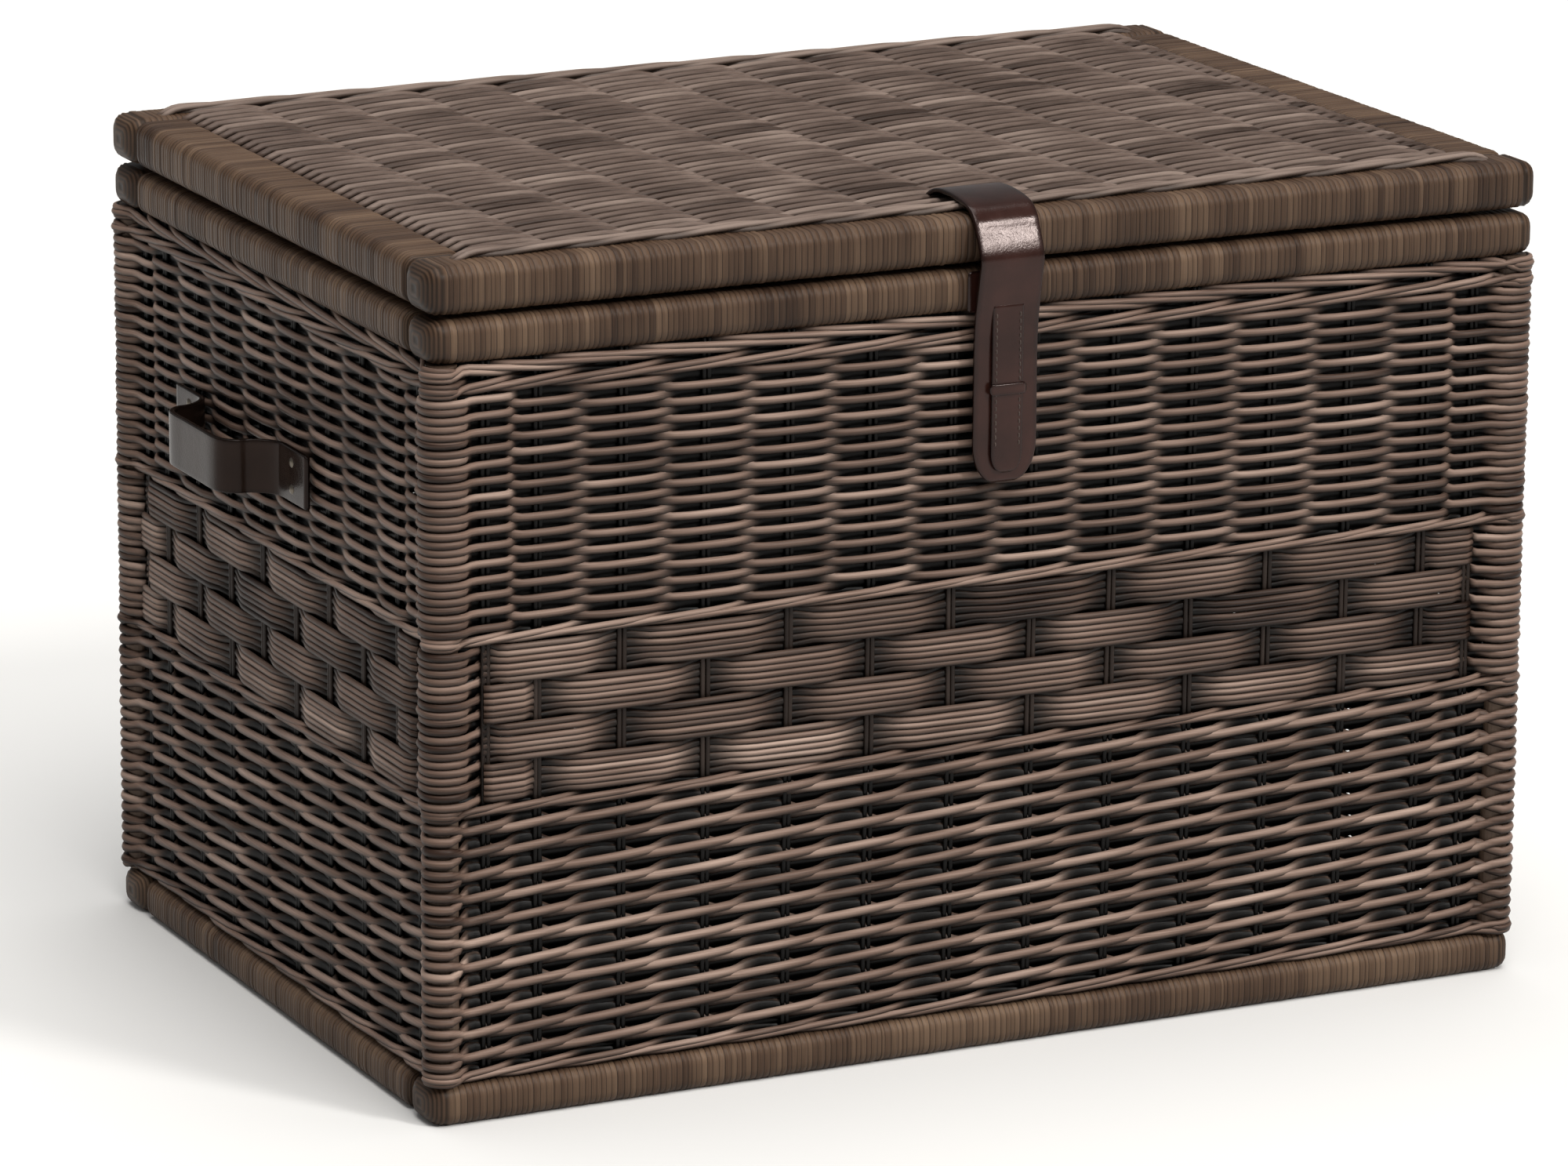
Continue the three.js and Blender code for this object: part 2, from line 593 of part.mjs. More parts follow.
// The loop seen from above, as an outline in X (outwards) and Y.
function handleLoop() {
  const middleX = loopOutX - HANDLE_THICKNESS / 2;
  const rootY = HANDLE_SPAN / 2;
  const bendY = rootY - HANDLE_SLANT;
  const half = [new THREE.Vector2(handleRootX, rootY)];
  for (let i = 0; i <= HANDLE_BEND_STEPS; i += 1) {
    const turn = (Math.PI / 2) * (i / HANDLE_BEND_STEPS);
    half.push(new THREE.Vector2(
      middleX - HANDLE_BEND * (1 - Math.sin(turn)), bendY - HANDLE_BEND * (1 - Math.cos(turn))));
  }
  const otherHalf = half.map((point) => new THREE.Vector2(point.x, -point.y));
  const route = [...otherHalf, ...half.reverse()];
  const shape = ribbonShape(route, HANDLE_THICKNESS);
  const options = { depth: HANDLE_HEIGHT, bevelEnabled: false };
  const loop = new THREE.ExtrudeGeometry(shape, options).translate(0, 0, -HANDLE_HEIGHT / 2);
  // The two ends are trimmed square to the wall.
  const trimDepth = 20;
  const trim = block(trimDepth, 4 * rootY, 2 * HANDLE_HEIGHT)
    .translate(handleRootX - trimDepth / 2, 0, 0);
  return cut(loop, [trim]);
}

function handleFoot() {
  const plate = roundedBar(FOOT_LENGTH, HANDLE_HEIGHT, FOOT_THICKNESS, FOOT_EDGE, 1)
    .rotateX(Math.PI / 2)
    .rotateZ(Math.PI / 2);
  const rivets = [-1, 1].map((sign) =>
    cylinderAlongX(RIVET_RADIUS, 0, FOOT_THICKNESS / 2 + RIVET_RISE, 16)
      .translate(0, 0, sign * RIVET_Z));
  return join([plate, ...rivets]);
}

// Mirrored in X, with each triangle turned round so that its face still points out.
function mirroredX(geometry) {
  const mirrored = geometry.clone().scale(-1, 1, 1);
  const index = mirrored.index.array;
  for (let i = 0; i < index.length; i += 3) [index[i], index[i + 1]] = [index[i + 1], index[i]];
  mirrored.computeVertexNormals();
  return mirrored;
}

for (const [side, sign] of [['left', -1], ['right', 1]]) {
  const facing = (geometry) => (sign > 0 ? geometry : mirroredX(geometry));
  addPiece(closure, `handle_${side}`, facing(handleLoop()), leather(), [0, HANDLE_Y, HANDLE_Z]);
  for (const [end, signY] of [['front', -1], ['back', 1]]) {
    const footY = HANDLE_Y + signY * (HANDLE_SPAN / 2 + FOOT_LENGTH / 2 + FOOT_MARGIN);
    const footX = sign * (handleFootFar + FOOT_THICKNESS / 2);
    addPiece(assembly, `handle_${side}_foot_${end}`, facing(handleFoot()), leather(),
      [footX, footY, HANDLE_Z]);
  }
}

export default trunk;
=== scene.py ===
"""Looks of the wicker storage trunk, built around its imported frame.

Metres, +Z up, front at -Y. mm() turns a length in millimetres into metres.
"""

import math

import bpy
import numpy as np
from mathutils import Matrix, Vector


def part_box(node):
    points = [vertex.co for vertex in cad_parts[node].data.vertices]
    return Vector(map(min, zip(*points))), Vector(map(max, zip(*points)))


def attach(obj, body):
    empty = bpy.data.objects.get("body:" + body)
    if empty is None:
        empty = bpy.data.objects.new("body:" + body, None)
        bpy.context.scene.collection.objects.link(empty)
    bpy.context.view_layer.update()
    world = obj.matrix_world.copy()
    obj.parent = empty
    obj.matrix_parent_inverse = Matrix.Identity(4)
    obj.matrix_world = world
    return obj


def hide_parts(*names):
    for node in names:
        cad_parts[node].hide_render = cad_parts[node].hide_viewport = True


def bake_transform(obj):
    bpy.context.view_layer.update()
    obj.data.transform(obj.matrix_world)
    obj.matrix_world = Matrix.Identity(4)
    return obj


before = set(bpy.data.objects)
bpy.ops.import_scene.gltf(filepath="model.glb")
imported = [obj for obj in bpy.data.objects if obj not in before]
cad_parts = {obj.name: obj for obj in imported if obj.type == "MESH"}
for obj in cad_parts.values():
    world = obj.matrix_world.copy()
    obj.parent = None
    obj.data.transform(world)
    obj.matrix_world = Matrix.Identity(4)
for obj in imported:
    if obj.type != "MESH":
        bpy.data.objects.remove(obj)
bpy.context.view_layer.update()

SEED = 20                     # every generator of random numbers starts from this
UP = np.array([0.0, 0.0, 1.0])


def mm(value):
    return value * 0.001


def add_object(name, data):
    thing = bpy.data.objects.new(name, data)
    bpy.context.scene.collection.objects.link(thing)
    return thing


# ---- Camera -----------------------------------------------------------------------------------

CAMERA_YAW = math.radians(26.30)
CAMERA_PITCH = math.radians(14.99)
CAMERA_ROLL = math.radians(0.48)
CAMERA_DISTANCE = 4.619
CAMERA_TARGET = Vector((-0.0189, -0.0008, 0.2257))
CAMERA_LENS_MM = 175.07


def add_camera():
    look = Vector((
        math.sin(CAMERA_YAW) * math.cos(CAMERA_PITCH),
        math.cos(CAMERA_YAW) * math.cos(CAMERA_PITCH),
        -math.sin(CAMERA_PITCH),
    ))
    side = Vector((math.cos(CAMERA_YAW), -math.sin(CAMERA_YAW), 0.0))
    up = side.cross(look)
    right = math.cos(CAMERA_ROLL) * side + math.sin(CAMERA_ROLL) * up
    upright = -math.sin(CAMERA_ROLL) * side + math.cos(CAMERA_ROLL) * up
    data = bpy.data.cameras.new("camera")
    data.sensor_width = 36.0
    data.lens = CAMERA_LENS_MM
    data.clip_end = 100.0
    camera = add_object("camera", data)
    turn = Matrix((right, upright, -look)).transposed()
    place = Matrix.Translation(CAMERA_TARGET - look * CAMERA_DISTANCE)
    camera.matrix_world = place @ turn.to_4x4()
    bpy.context.scene.camera = camera


add_camera()


# ---- Floor, backdrop and light ----------------------------------------------------------------

FLOOR_HALF = 30.0
FLOOR_COLOUR = (0.86, 0.855, 0.845, 1.0)
WORLD_STRENGTH = 0.24

# Wide soft lights as azimuth, elevation, spread, strength and colour. Azimuth 0 is in front of
# the trunk and 90 to its right, in degrees.
SUNS = {
    "key": (31.0, 34.0, 10.5, 1.35, (1.0, 0.975, 0.94)),
    "fill": (-6.0, 62.0, 36.0, 1.65, (1.0, 0.98, 0.95)),
    "overhead": (165.0, 82.0, 46.0, 1.2, (1.0, 0.99, 0.97)),
}


def add_stage():
    mesh = bpy.data.meshes.new("floor")
    corners = [(x * FLOOR_HALF, y * FLOOR_HALF, 0)
               for x, y in ((-1, -1), (1, -1), (1, 1), (-1, 1))]
    mesh.from_pydata(corners, [], [(0, 1, 2, 3)])
    floor = add_object("floor", mesh)
    material = bpy.data.materials.new("pale_floor")
    material.use_nodes = True
    shader = material.node_tree.nodes["Principled BSDF"]
    shader.inputs["Base Color"].default_value = FLOOR_COLOUR
    shader.inputs["Roughness"].default_value = 0.9
    mesh.materials.append(material)


def add_sun(name, azimuth, elevation, spread, strength, colour):
    data = bpy.data.lights.new(name, "SUN")
    data.energy = strength
    data.angle = math.radians(spread)
    data.color = colour
    light = add_object(name, data)
    azimuth, elevation = math.radians(azimuth), math.radians(elevation)
    source = Vector((
        math.sin(azimuth) * math.cos(elevation),
        -math.cos(azimuth) * math.cos(elevation),
        math.sin(elevation),
    ))
    light.location = source * 4.0
    light.rotation_mode = "QUATERNION"
    light.rotation_quaternion = (-source).to_track_quat("-Z", "Y")


def add_light():
    scene = bpy.context.scene
    scene.view_settings.view_transform = "Standard"
    world = bpy.data.worlds.new("studio")
    world.use_nodes = True
    background = world.node_tree.nodes["Background"]
    background.inputs["Color"].default_value = (1.0, 1.0, 1.0, 1.0)
    background.inputs["Strength"].default_value = WORLD_STRENGTH
    scene.world = world
    for name, values in SUNS.items():
        add_sun(name, *values)


add_stage()
add_light()


# ---- Sizes worked out from the frame ----------------------------------------------------------

front_rail_low, front_rail_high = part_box("rim_rail_front")
_, base_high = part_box("base_rail_front")
_, lid_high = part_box("lid_rail_front")
post_low, post_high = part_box("corner_post_front_left")

HALF_X = float(front_rail_high.x)
HALF_Y = float(-front_rail_low.y)
RAIL_DEPTH = float(front_rail_high.y - front_rail_low.y)
WALL_BOTTOM = float(base_high.z)
WALL_TOP = float(front_rail_low.z)
LID_TOP = float(lid_high.z)
POST_CENTRE_INSET = HALF_X + float(post_low.x + post_high.x) / 2
POST_RADIUS = float(post_high.x - post_low.x) / 2

REED = mm(1.9)                # half thickness of a wall weaver
REED_TALL = mm(2.45)          # half its height
STAKE = mm(1.5)               # radius of one upright reed
STAKE_FLAT = mm(1.2)          # half its thickness through the wall
STAKE_OFFSET = STAKE * 1.03   # one of a pair of upright reeds from the middle of the pair
WEAVE_INSET = mm(8.0)         # middle of the woven wall behind the rail faces
WEAVE_SWING = STAKE_FLAT + REED   # a weaver's middle line either side of the uprights
POST_SWING = WEAVE_INSET - (POST_CENTRE_INSET - POST_RADIUS - REED)


# ---- Meshes made of swept tubes ---------------------------------------------------------------

def unit(vectors):
    return vectors / np.maximum(np.linalg.norm(vectors, axis=-1, keepdims=True), 1e-12)


def distances(points):
    """How far along its route each point lies."""
    steps = np.linalg.norm(np.diff(points, axis=0), axis=1)
    return np.concatenate([[0.0], np.cumsum(steps)])


def resample(places, distance, points):
    """Points of a route at the distances given by places."""
    return np.column_stack([np.interp(places, distance, points[:, axis]) for axis in range(3)])


def rounded_section(half_a, half_b, radius, steps, flats):
    """Points and outward directions round a rounded rectangle, as (a, b) pairs.

    flats says where the two faces along a have points, as shares of their half length.
    """
    points, normals = [], []
    for corner, (sign_a, sign_b) in enumerate([(1, 1), (-1, 1), (-1, -1), (1, -1)]):
        centre = np.array([sign_a * (half_a - radius), sign_b * (half_b - radius)])
        for step in range(steps + 1):
            angle = (corner + step / steps) * math.pi / 2
            normals.append(np.array([math.cos(angle), math.sin(angle)]))
            points.append(centre + normals[-1] * radius)
        if corner in (0, 2):
            for share in flats:
                normals.append(normals[-1])
                points.append(np.array([centre[0] * share, sign_b * half_b]))
    return np.array(points), np.array(normals)


class Faces:
    """Gathers the faces of tubes, which are rings of points, with a strip of UVs for each."""

    def __init__(self):
        self.loops, self.sizes, self.uvs = [], [], []
        self.points = 0

    def add_tube(self, count, sides, closed=False, u_range=(0.0, 1.0), v_range=(0.01, 0.99)):
        """Adds count rings of points. A tube that isn't closed gets a cap on each end."""
        segments = count if closed else count - 1
        ring = np.arange(segments)[:, None]
        next_ring = (ring + 1) % count
        side = np.arange(sides)
        next_side = (side + 1) % sides
        quads = np.stack([
            ring * sides + side, ring * sides + next_side,
            next_ring * sides + next_side, next_ring * sides + side,
        ], axis=-1)
        self.loops.append(self.points + quads.reshape(-1))
        self.sizes.append(np.full(segments * sides, 4))
        u = np.stack([ring, ring, ring + 1, ring + 1], axis=-1) / segments
        v = np.stack([side, side + 1, side + 1, side], axis=-1) / sides
        uv = np.stack([np.broadcast_to(u, quads.shape), np.broadcast_to(v, quads.shape)], -1)
        low = np.array([u_range[0], v_range[0]])
        high = np.array([u_range[1], v_range[1]])
        self.uvs.append(low + uv.reshape(-1, 2) * (high - low))
        if not closed:
            caps = np.stack([side[::-1], (count - 1) * sides + side])
            self.loops.append(self.points + caps.reshape(-1))
            self.sizes.append(np.full(2, sides))
            self.uvs.append(np.full((2 * sides, 2), (v_range[0] + v_range[1]) / 2))
        self.points += count * sides

    def make_mesh(self, name, verts, material, colours, with_uvs=True):
        sizes = np.concatenate(self.sizes)
        return make_mesh(name, verts, np.concatenate(self.loops), np.cumsum(sizes) - sizes,
                         material, colours, np.concatenate(self.uvs) if with_uvs else None)


class Strands:
    """Gathers swept tubes into one mesh.

    Each point carries a colour attribute named strand: tint, how far forward it lies
    (0 in a recess, 1 at a crest), distance along and a random number for its tube. The material
    paints shade from how far forward a point lies, and some callers set that value to paint shade.
    """

    def __init__(self, seed, sides=8, two_faced=False):
        self.random = np.random.default_rng(SEED * 1000 + seed)
        self.sides = sides
        self.two_faced = two_faced
        self.tubes = []

    def add(self, points, outward, half_out, half_side, tint=0.5, lift=1.0, closed=False):
        """One tube through the points. The other values are one for all or one for each."""
        points = np.asarray(points, dtype=float)
        count = len(points)
        if closed:
            along = np.roll(points, -1, 0) - np.roll(points, 1, 0)
        else:
            along = np.gradient(points, axis=0)
        along = unit(along)
        outward = np.broadcast_to(np.asarray(outward, dtype=float), points.shape)
        across = unit(np.cross(along, outward))
        out = unit(np.cross(across, along))
        turn = np.arange(self.sides) * (2 * math.pi / self.sides)
        half_out = np.broadcast_to(half_out, (count,))[:, None, None]
        half_side = np.broadcast_to(half_side, (count,))[:, None, None]
        ring = (out[:, None, :] * np.cos(turn)[None, :, None] * half_out
                + across[:, None, :] * np.sin(turn)[None, :, None] * half_side)
        verts = (points[:, None, :] + ring).reshape(-1, 3)
        colour = np.empty((count, self.sides, 4))
        colour[:, :, 0] = np.broadcast_to(tint, (count,))[:, None]
        colour[:, :, 1] = self.both_sides(np.broadcast_to(lift, (count,))[:, None], turn)
        colour[:, :, 2] = distances(points)[:, None]
        colour[:, :, 3] = self.random.random()
        self.tubes.append((verts, colour.reshape(-1, 4), count, closed))

    def both_sides(self, lift, turn):
        """A strand in a recess of the outer face is at a crest of the inner face, so its painted
        shade turns round there.
        """
        if not self.two_faced:
            return lift
        forward = 2.0 * lift - 1.0
        facing = np.cos(turn)[None, :] * 1.5 + 0.2 * np.sign(forward)
        return 0.5 + 0.5 * forward * np.clip(facing, -1.0, 1.0)

    def build(self, name, material):
        faces = Faces()
        rows = len(self.tubes)
        for row, (_, _, count, closed) in enumerate(self.tubes):
            faces.add_tube(count, self.sides, closed, (0.002, 0.998),
                           ((row + 0.08) / rows, (row + 0.92) / rows))
        verts = np.concatenate([tube[0] for tube in self.tubes])
        colours = np.concatenate([tube[1] for tube in self.tubes])
        return faces.make_mesh(name, verts, material, colours)


def make_mesh(name, verts, loops, starts, material, colours=None, uvs=None):
    mesh = bpy.data.meshes.new(name)
    mesh.vertices.add(len(verts))
    mesh.vertices.foreach_set("co", np.asarray(verts, dtype=np.float32).reshape(-1))
    mesh.loops.add(len(loops))
    mesh.loops.foreach_set("vertex_index", np.asarray(loops, dtype=np.int32))
    mesh.polygons.add(len(starts))
    mesh.polygons.foreach_set("loop_start", np.asarray(starts, dtype=np.int32))
    mesh.update(calc_edges=True)
    if colours is not None:
        layer = mesh.attributes.new("strand", "FLOAT_COLOR", "POINT")
        layer.data.foreach_set("color", np.asarray(colours, dtype=np.float32).reshape(-1))
    if uvs is not None:
        layer = mesh.uv_layers.new(name="OFBake")
        layer.data.foreach_set("uv", np.asarray(uvs, dtype=np.float32).reshape(-1))
    mesh.validate()
    mesh.shade_smooth()
    mesh.materials.append(material)
    return add_object(name, mesh)


# ---- Materials --------------------------------------------------------------------------------

class Nodes:
    """A short way to write a material's nodes."""

    def __init__(self, name):
        self.material = bpy.data.materials.new(name)
        self.material.use_nodes = True
        self.tree = self.material.node_tree
        self.shader = self.tree.nodes["Principled BSDF"]

    def add(self, kind, inputs=(), **settings):
        node = self.tree.nodes.new(kind)
        for key, value in settings.items():
            setattr(node, key, value)
        for key, value in dict(inputs).items():
            self.put(value, node.inputs[key])
        return node

    def put(self, value, socket):
        if isinstance(value, bpy.types.NodeSocket):
            self.tree.links.new(value, socket)
        else:
            socket.default_value = value

    def set(self, **inputs):
        for key, value in inputs.items():
            self.put(value, self.shader.inputs[key.replace("_", " ")])

    def math(self, operation, a, b=0.0, c=0.0, clamp=False):
        inputs = {0: a, 1: b, 2: c}
        return self.add("ShaderNodeMath", inputs, operation=operation, use_clamp=clamp).outputs[0]

    def strand(self):
        """The parts of the colour that a mesh carries as its strand attribute."""
        strand = self.add("ShaderNodeAttribute", attribute_name="strand")
        return self.add("ShaderNodeSeparateColor", {"Color": strand.outputs["Color"]}).outputs

    def soft_range(self, value, low, high, to_low, to_high):
        return self.add("ShaderNodeMapRange", {
            "Value": value, "From Min": low, "From Max": high, "To Min": to_low,
            "To Max": to_high,
        }, interpolation_type="SMOOTHSTEP").outputs["Result"]

    def ramp(self, factor, stops):
        node = self.add("ShaderNodeValToRGB", {"Fac": factor})
        elements = node.color_ramp.elements
        while len(elements) < len(stops):
            elements.new(0.5)
        for element, (place, colour) in zip(elements, stops):
            element.position = place
            element.color = (*colour, 1.0)
        return node.outputs["Color"]

    def noise(self, stretch, detail=3.0, roughness=0.55):
        place = self.add("ShaderNodeTexCoord").outputs["Object"]
        mapping = self.add("ShaderNodeMapping", {"Vector": place, "Scale": stretch})
        return self.add("ShaderNodeTexNoise", {
            "Vector": mapping.outputs["Vector"], "Scale": 1.0, "Detail": detail,
            "Roughness": roughness,
        }).outputs["Fac"]

    def shaded(self, colour, shade):
        """The colour multiplied by a grey."""
        grey = self.add("ShaderNodeCombineColor", {"Red": shade, "Green": shade, "Blue": shade})
        inputs = {0: 1.0, 6: colour, 7: grey.outputs["Color"]}
        return self.add("ShaderNodeMix", inputs, data_type="RGBA",
                        blend_type="MULTIPLY").outputs[2]

    def bump(self, height, strength, distance):
        return self.add("ShaderNodeBump", {
            "Height": height, "Strength": strength, "Distance": distance,
        }).outputs["Normal"]


def reed_material(name, dark, middle, light, stretch, recess=0.012, under=0.14,
                  open_from=0.18, open_to=0.80, shine=0.18):
    """Stained reed: streaks along the strand and a tint for each strand, with painted shade in the
    recesses.

    recess and under are how bright the painted shade leaves a recess and an underside, against an
    open place; tops get painted light.
    """
    nodes = Nodes(name)
    parts = nodes.strand()
    tint, lift = parts["Red"], parts["Green"]
    streaks = nodes.noise(stretch, detail=4.0, roughness=0.6)
    blotches = nodes.noise((14.0, 14.0, 14.0), detail=2.0)
    level = nodes.math("MULTIPLY_ADD", nodes.math("SUBTRACT", streaks, 0.5), 0.55, tint)
    level = nodes.math("MULTIPLY_ADD", nodes.math("SUBTRACT", blotches, 0.5), 0.5, level)
    colour = nodes.ramp(level, [(0.08, dark), (0.5, middle), (0.92, light)])
    # Painted shade: darker the further back the strand lies in the weave.
    shade = nodes.soft_range(lift, open_from, open_to, recess, 1.0)
    normal = nodes.add("ShaderNodeTexCoord").outputs["Normal"]
    upward = nodes.add("ShaderNodeSeparateXYZ", {"Vector": normal}).outputs["Z"]
    # Painted light and shade: brighter where the surface faces up, darker where it faces down.
    painted_top_light_and_under_shade = nodes.soft_range(upward, -0.75, 0.75, under, 1.25)
    colour = nodes.shaded(colour, nodes.math("MULTIPLY", shade, painted_top_light_and_under_shade))
    nodes.set(Base_Color=colour, Roughness=nodes.math("MULTIPLY_ADD", streaks, 0.25, 0.32),
              Normal=nodes.bump(streaks, 0.35, mm(0.25)), Specular_IOR_Level=shine)
    return nodes.material


ALONG_WALLS = (26.0, 26.0, 1400.0)
ALONG_Z = (1400.0, 1400.0, 26.0)
AROUND_X_RAIL = (1300.0, 30.0, 30.0)
AROUND_Y_RAIL = (30.0, 1300.0, 30.0)

REED_COLOURS = ((0.030, 0.016, 0.011), (0.180, 0.118, 0.091), (0.400, 0.290, 0.235))
LID_COLOURS = ((0.030, 0.018, 0.013), (0.098, 0.068, 0.055), (0.200, 0.150, 0.125))
RAIL_COLOURS = ((0.018, 0.009, 0.006), (0.073, 0.043, 0.027), (0.150, 0.096, 0.061))

weaver_material = reed_material("woven_reed", *REED_COLOURS, ALONG_WALLS)
stake_material = reed_material("upright_reed", *REED_COLOURS, ALONG_Z)
lid_material = reed_material("lid_reed", *LID_COLOURS, (26.0, 900.0, 900.0), recess=0.42, under=0.5,
                             open_from=0.1, open_to=0.75)
# Wrapped rails take milder painted shade in the grooves and underneath.
rail_x_material, rail_y_material = [
    reed_material(name, *RAIL_COLOURS, stretch, 0.34, 0.55, open_from=0.0, shine=0.16)
    for name, stretch in (("wrapped_rail_x", AROUND_X_RAIL), ("wrapped_rail_y", AROUND_Y_RAIL))]


def plain_material(name, dark, light, stretch, rough, rough_range, grain, metallic=0.0,
                   specular=0.5):
    """Two tones mixed by stretched noise, which also roughens and dents the surface a little."""
    nodes = Nodes(name)
    streaks = nodes.noise(stretch, detail=4.0, roughness=0.6)
    blotches = nodes.noise((18.0, 18.0, 18.0), detail=2.0)
    level = nodes.math("MULTIPLY_ADD", blotches, 0.6, nodes.math("MULTIPLY", streaks, 0.4))
    colour = nodes.ramp(level, [(0.30, dark), (0.70, light)])
    rough_value = nodes.math("MULTIPLY_ADD", level, rough_range, rough - rough_range / 2)
    nodes.set(Base_Color=colour, Roughness=rough_value, Metallic=metallic,
              Normal=nodes.bump(streaks, 0.4, grain), Specular_IOR_Level=specular)
    return nodes.material


def leather(name, dark, light, specular):
    """Dark leather: fine pebbles, soft creases and edges burnished almost black."""
    nodes = Nodes(name)
    inward = nodes.strand()["Green"]
    clouds = nodes.noise((30.0, 30.0, 30.0), detail=3.0)
    pebbles = nodes.noise((850.0, 850.0, 850.0), detail=2.0)
    creases = nodes.noise((120.0, 120.0, 120.0), detail=4.0, roughness=0.7)
    colour = nodes.ramp(clouds, [(0.3, dark), (0.7, light)])
    colour = nodes.shaded(colour, nodes.math("MULTIPLY_ADD", inward, 0.65, 0.35, clamp=True))
    height = nodes.math("MULTIPLY_ADD", pebbles, 0.5, nodes.math("MULTIPLY", creases, 0.8))
    nodes.set(Base_Color=colour, Roughness=nodes.math("MULTIPLY_ADD", creases, 0.17, 0.12),
              Normal=nodes.bump(height, 0.35, mm(0.35)), Specular_IOR_Level=specular,
              Specular_Tint=(1.0, 0.86, 0.83, 1.0))
    return nodes.material


leather_material = leather("chestnut_leather", (0.016, 0.0055, 0.004), (0.034, 0.012, 0.009), 0.32)
handle_material = leather("handle_leather", (0.009, 0.005, 0.0035), (0.020, 0.011, 0.0075), 0.15)
thread_material = plain_material("waxed_thread", (0.030, 0.017, 0.012), (0.070, 0.045, 0.034),
                                 (900.0, 900.0, 900.0), 0.55, 0.2, mm(0.1))
pole_material = plain_material("corner_pole", (0.045, 0.026, 0.017), (0.120, 0.080, 0.056),
                               (420.0, 420.0, 14.0), 0.50, 0.3, mm(0.35), specular=0.25)
wood_material = plain_material("batten_grain", (0.090, 0.050, 0.026), (0.210, 0.130, 0.076),
                               (260.0, 16.0, 260.0), 0.66, 0.25, mm(0.4), specular=0.3)
metal_material = plain_material("antique_steel", (0.060, 0.050, 0.040), (0.200, 0.175, 0.140),
                                (160.0, 160.0, 160.0), 0.38, 0.3, mm(0.15), metallic=0.9)
magnet_material = plain_material("nickel_plate", (0.42, 0.41, 0.40), (0.62, 0.61, 0.59),
                                 (300.0, 300.0, 300.0), 0.28, 0.2, mm(0.05), metallic=1.0)


# ---- The walk round the four woven walls ------------------------------------------------------

def eased(share):
    return share * share * (3.0 - 2.0 * share)


def soft_window(size):
    window = np.hanning(size)
    return window / window.sum()


class Walk:
    """The middle line of the woven walls, walked from the front left corner to the right.

    A rounded rectangle whose corners are centred on the posts. fine has a place on it every
    millimetre, and points, normals and places are the coarser ones that meshes use.
    """

    CORNER_STEPS = 6

    def __init__(self, step):
        half_x, half_y = HALF_X - WEAVE_INSET, HALF_Y - WEAVE_INSET
        radius = POST_CENTRE_INSET - WEAVE_INSET
        corners = np.array([(-1, -1, 0), (1, -1, 0), (1, 1, 0), (-1, 1, 0)])
        centres = corners * np.array([half_x - radius, half_y - radius, 0.0])
        arc = radius * math.pi / 2
        points, normals, places = [], [], []
        self.wall_starts, self.wall_lengths = [], []
        place = 0.0
        for side, half in enumerate([half_x, half_y, half_x, half_y]):
            length = 2 * (half - radius)
            turn = side * math.pi / 2
            along = np.array([math.cos(turn), math.sin(turn), 0.0])
            out = np.array([math.sin(turn), -math.cos(turn), 0.0])
            start = centres[side] + out * radius
            self.wall_starts.append(place)
            self.wall_lengths.append(length)
            count = int(round(length / step))
            for index in range(count):
                distance = length * index / count
                points.append(start + along * distance)
                normals.append(out)
                places.append(place + distance)
            place += length
            next_centre = start + along * length - out * radius
            for index in range(self.CORNER_STEPS):
                share = index / self.CORNER_STEPS
                angle = share * math.pi / 2
                normal = out * math.cos(angle) + along * math.sin(angle)
                points.append(next_centre + normal * radius)
                normals.append(normal)
                places.append(place + arc * share)
            place += arc
        self.points, self.normals, self.places = map(np.array, (points, normals, places))
        self.length = place
        self.arc = arc
        self.fine = np.arange(0.0, self.length, mm(1.0))

    def corner_weight(self, fade):
        """1 round the posts, falling to 0 over the fade distance on each side of them."""
        weight = np.zeros_like(self.fine)
        for start, length in zip(self.wall_starts, self.wall_lengths):
            low, high = start + length, start + length + self.arc
            for shift in (-self.length, 0.0, self.length):
                near = np.maximum(low + shift - self.fine, self.fine - high - shift)
                weight = np.maximum(weight, np.clip(1.0 - near / fade, 0.0, 1.0))
        return eased(weight)

    def smooth(self, values, width):
        """Values along the fine walk, softened over about a width."""
        window = soft_window((max(int(round(width / mm(1.0))), 1) | 1) + 2)
        half = len(window) // 2
        padded = np.concatenate([values[-half:], values, values[:half]])
        return np.convolve(padded, window, mode="valid")

    def sample(self, values):
        """Values along the fine walk, read at the walk's points."""
        return np.interp(self.places, self.fine, values, period=self.length)


walk = Walk(step=mm(4.7))


def spaced_uprights(pitch, count, end):
    """Evenly spaced uprights and one at each end, as distances from the middle of a wall."""
    return np.concatenate([[-end], (np.arange(count) - (count - 1) / 2) * pitch, [end]])


# Neighbouring uprights in a wall take opposite sides of every weaver. Spacing and ends are
# shares of the trunk's width and depth.
FRONT_PITCH = 0.0736 * 2 * HALF_X
FRONT_UPRIGHTS = spaced_uprights(FRONT_PITCH, 12, 0.45 * 2 * HALF_X)
SIDE_UPRIGHTS = spaced_uprights(0.1035 * 2 * HALF_Y, 8, 0.428 * 2 * HALF_Y)


def wall_uprights(side):
    """Places along the walk of one wall's uprights."""
    middle = walk.wall_starts[side] + walk.wall_lengths[side] / 2
    return middle + (FRONT_UPRIGHTS if side % 2 == 0 else SIDE_UPRIGHTS)


def upright_places():
    """Places along the walk of every upright and post, in order, and their numbers.

    A number counts along its own wall, and a post has none, so its number is -1.
    """
    places, numbers = [], []
    for side in range(4):
        uprights = wall_uprights(side)
        post = walk.wall_starts[side] + walk.wall_lengths[side] + walk.arc / 2
        places.extend([*uprights, post])
        numbers.extend([*range(len(uprights)), -1])
    return np.array(places), np.array(numbers)


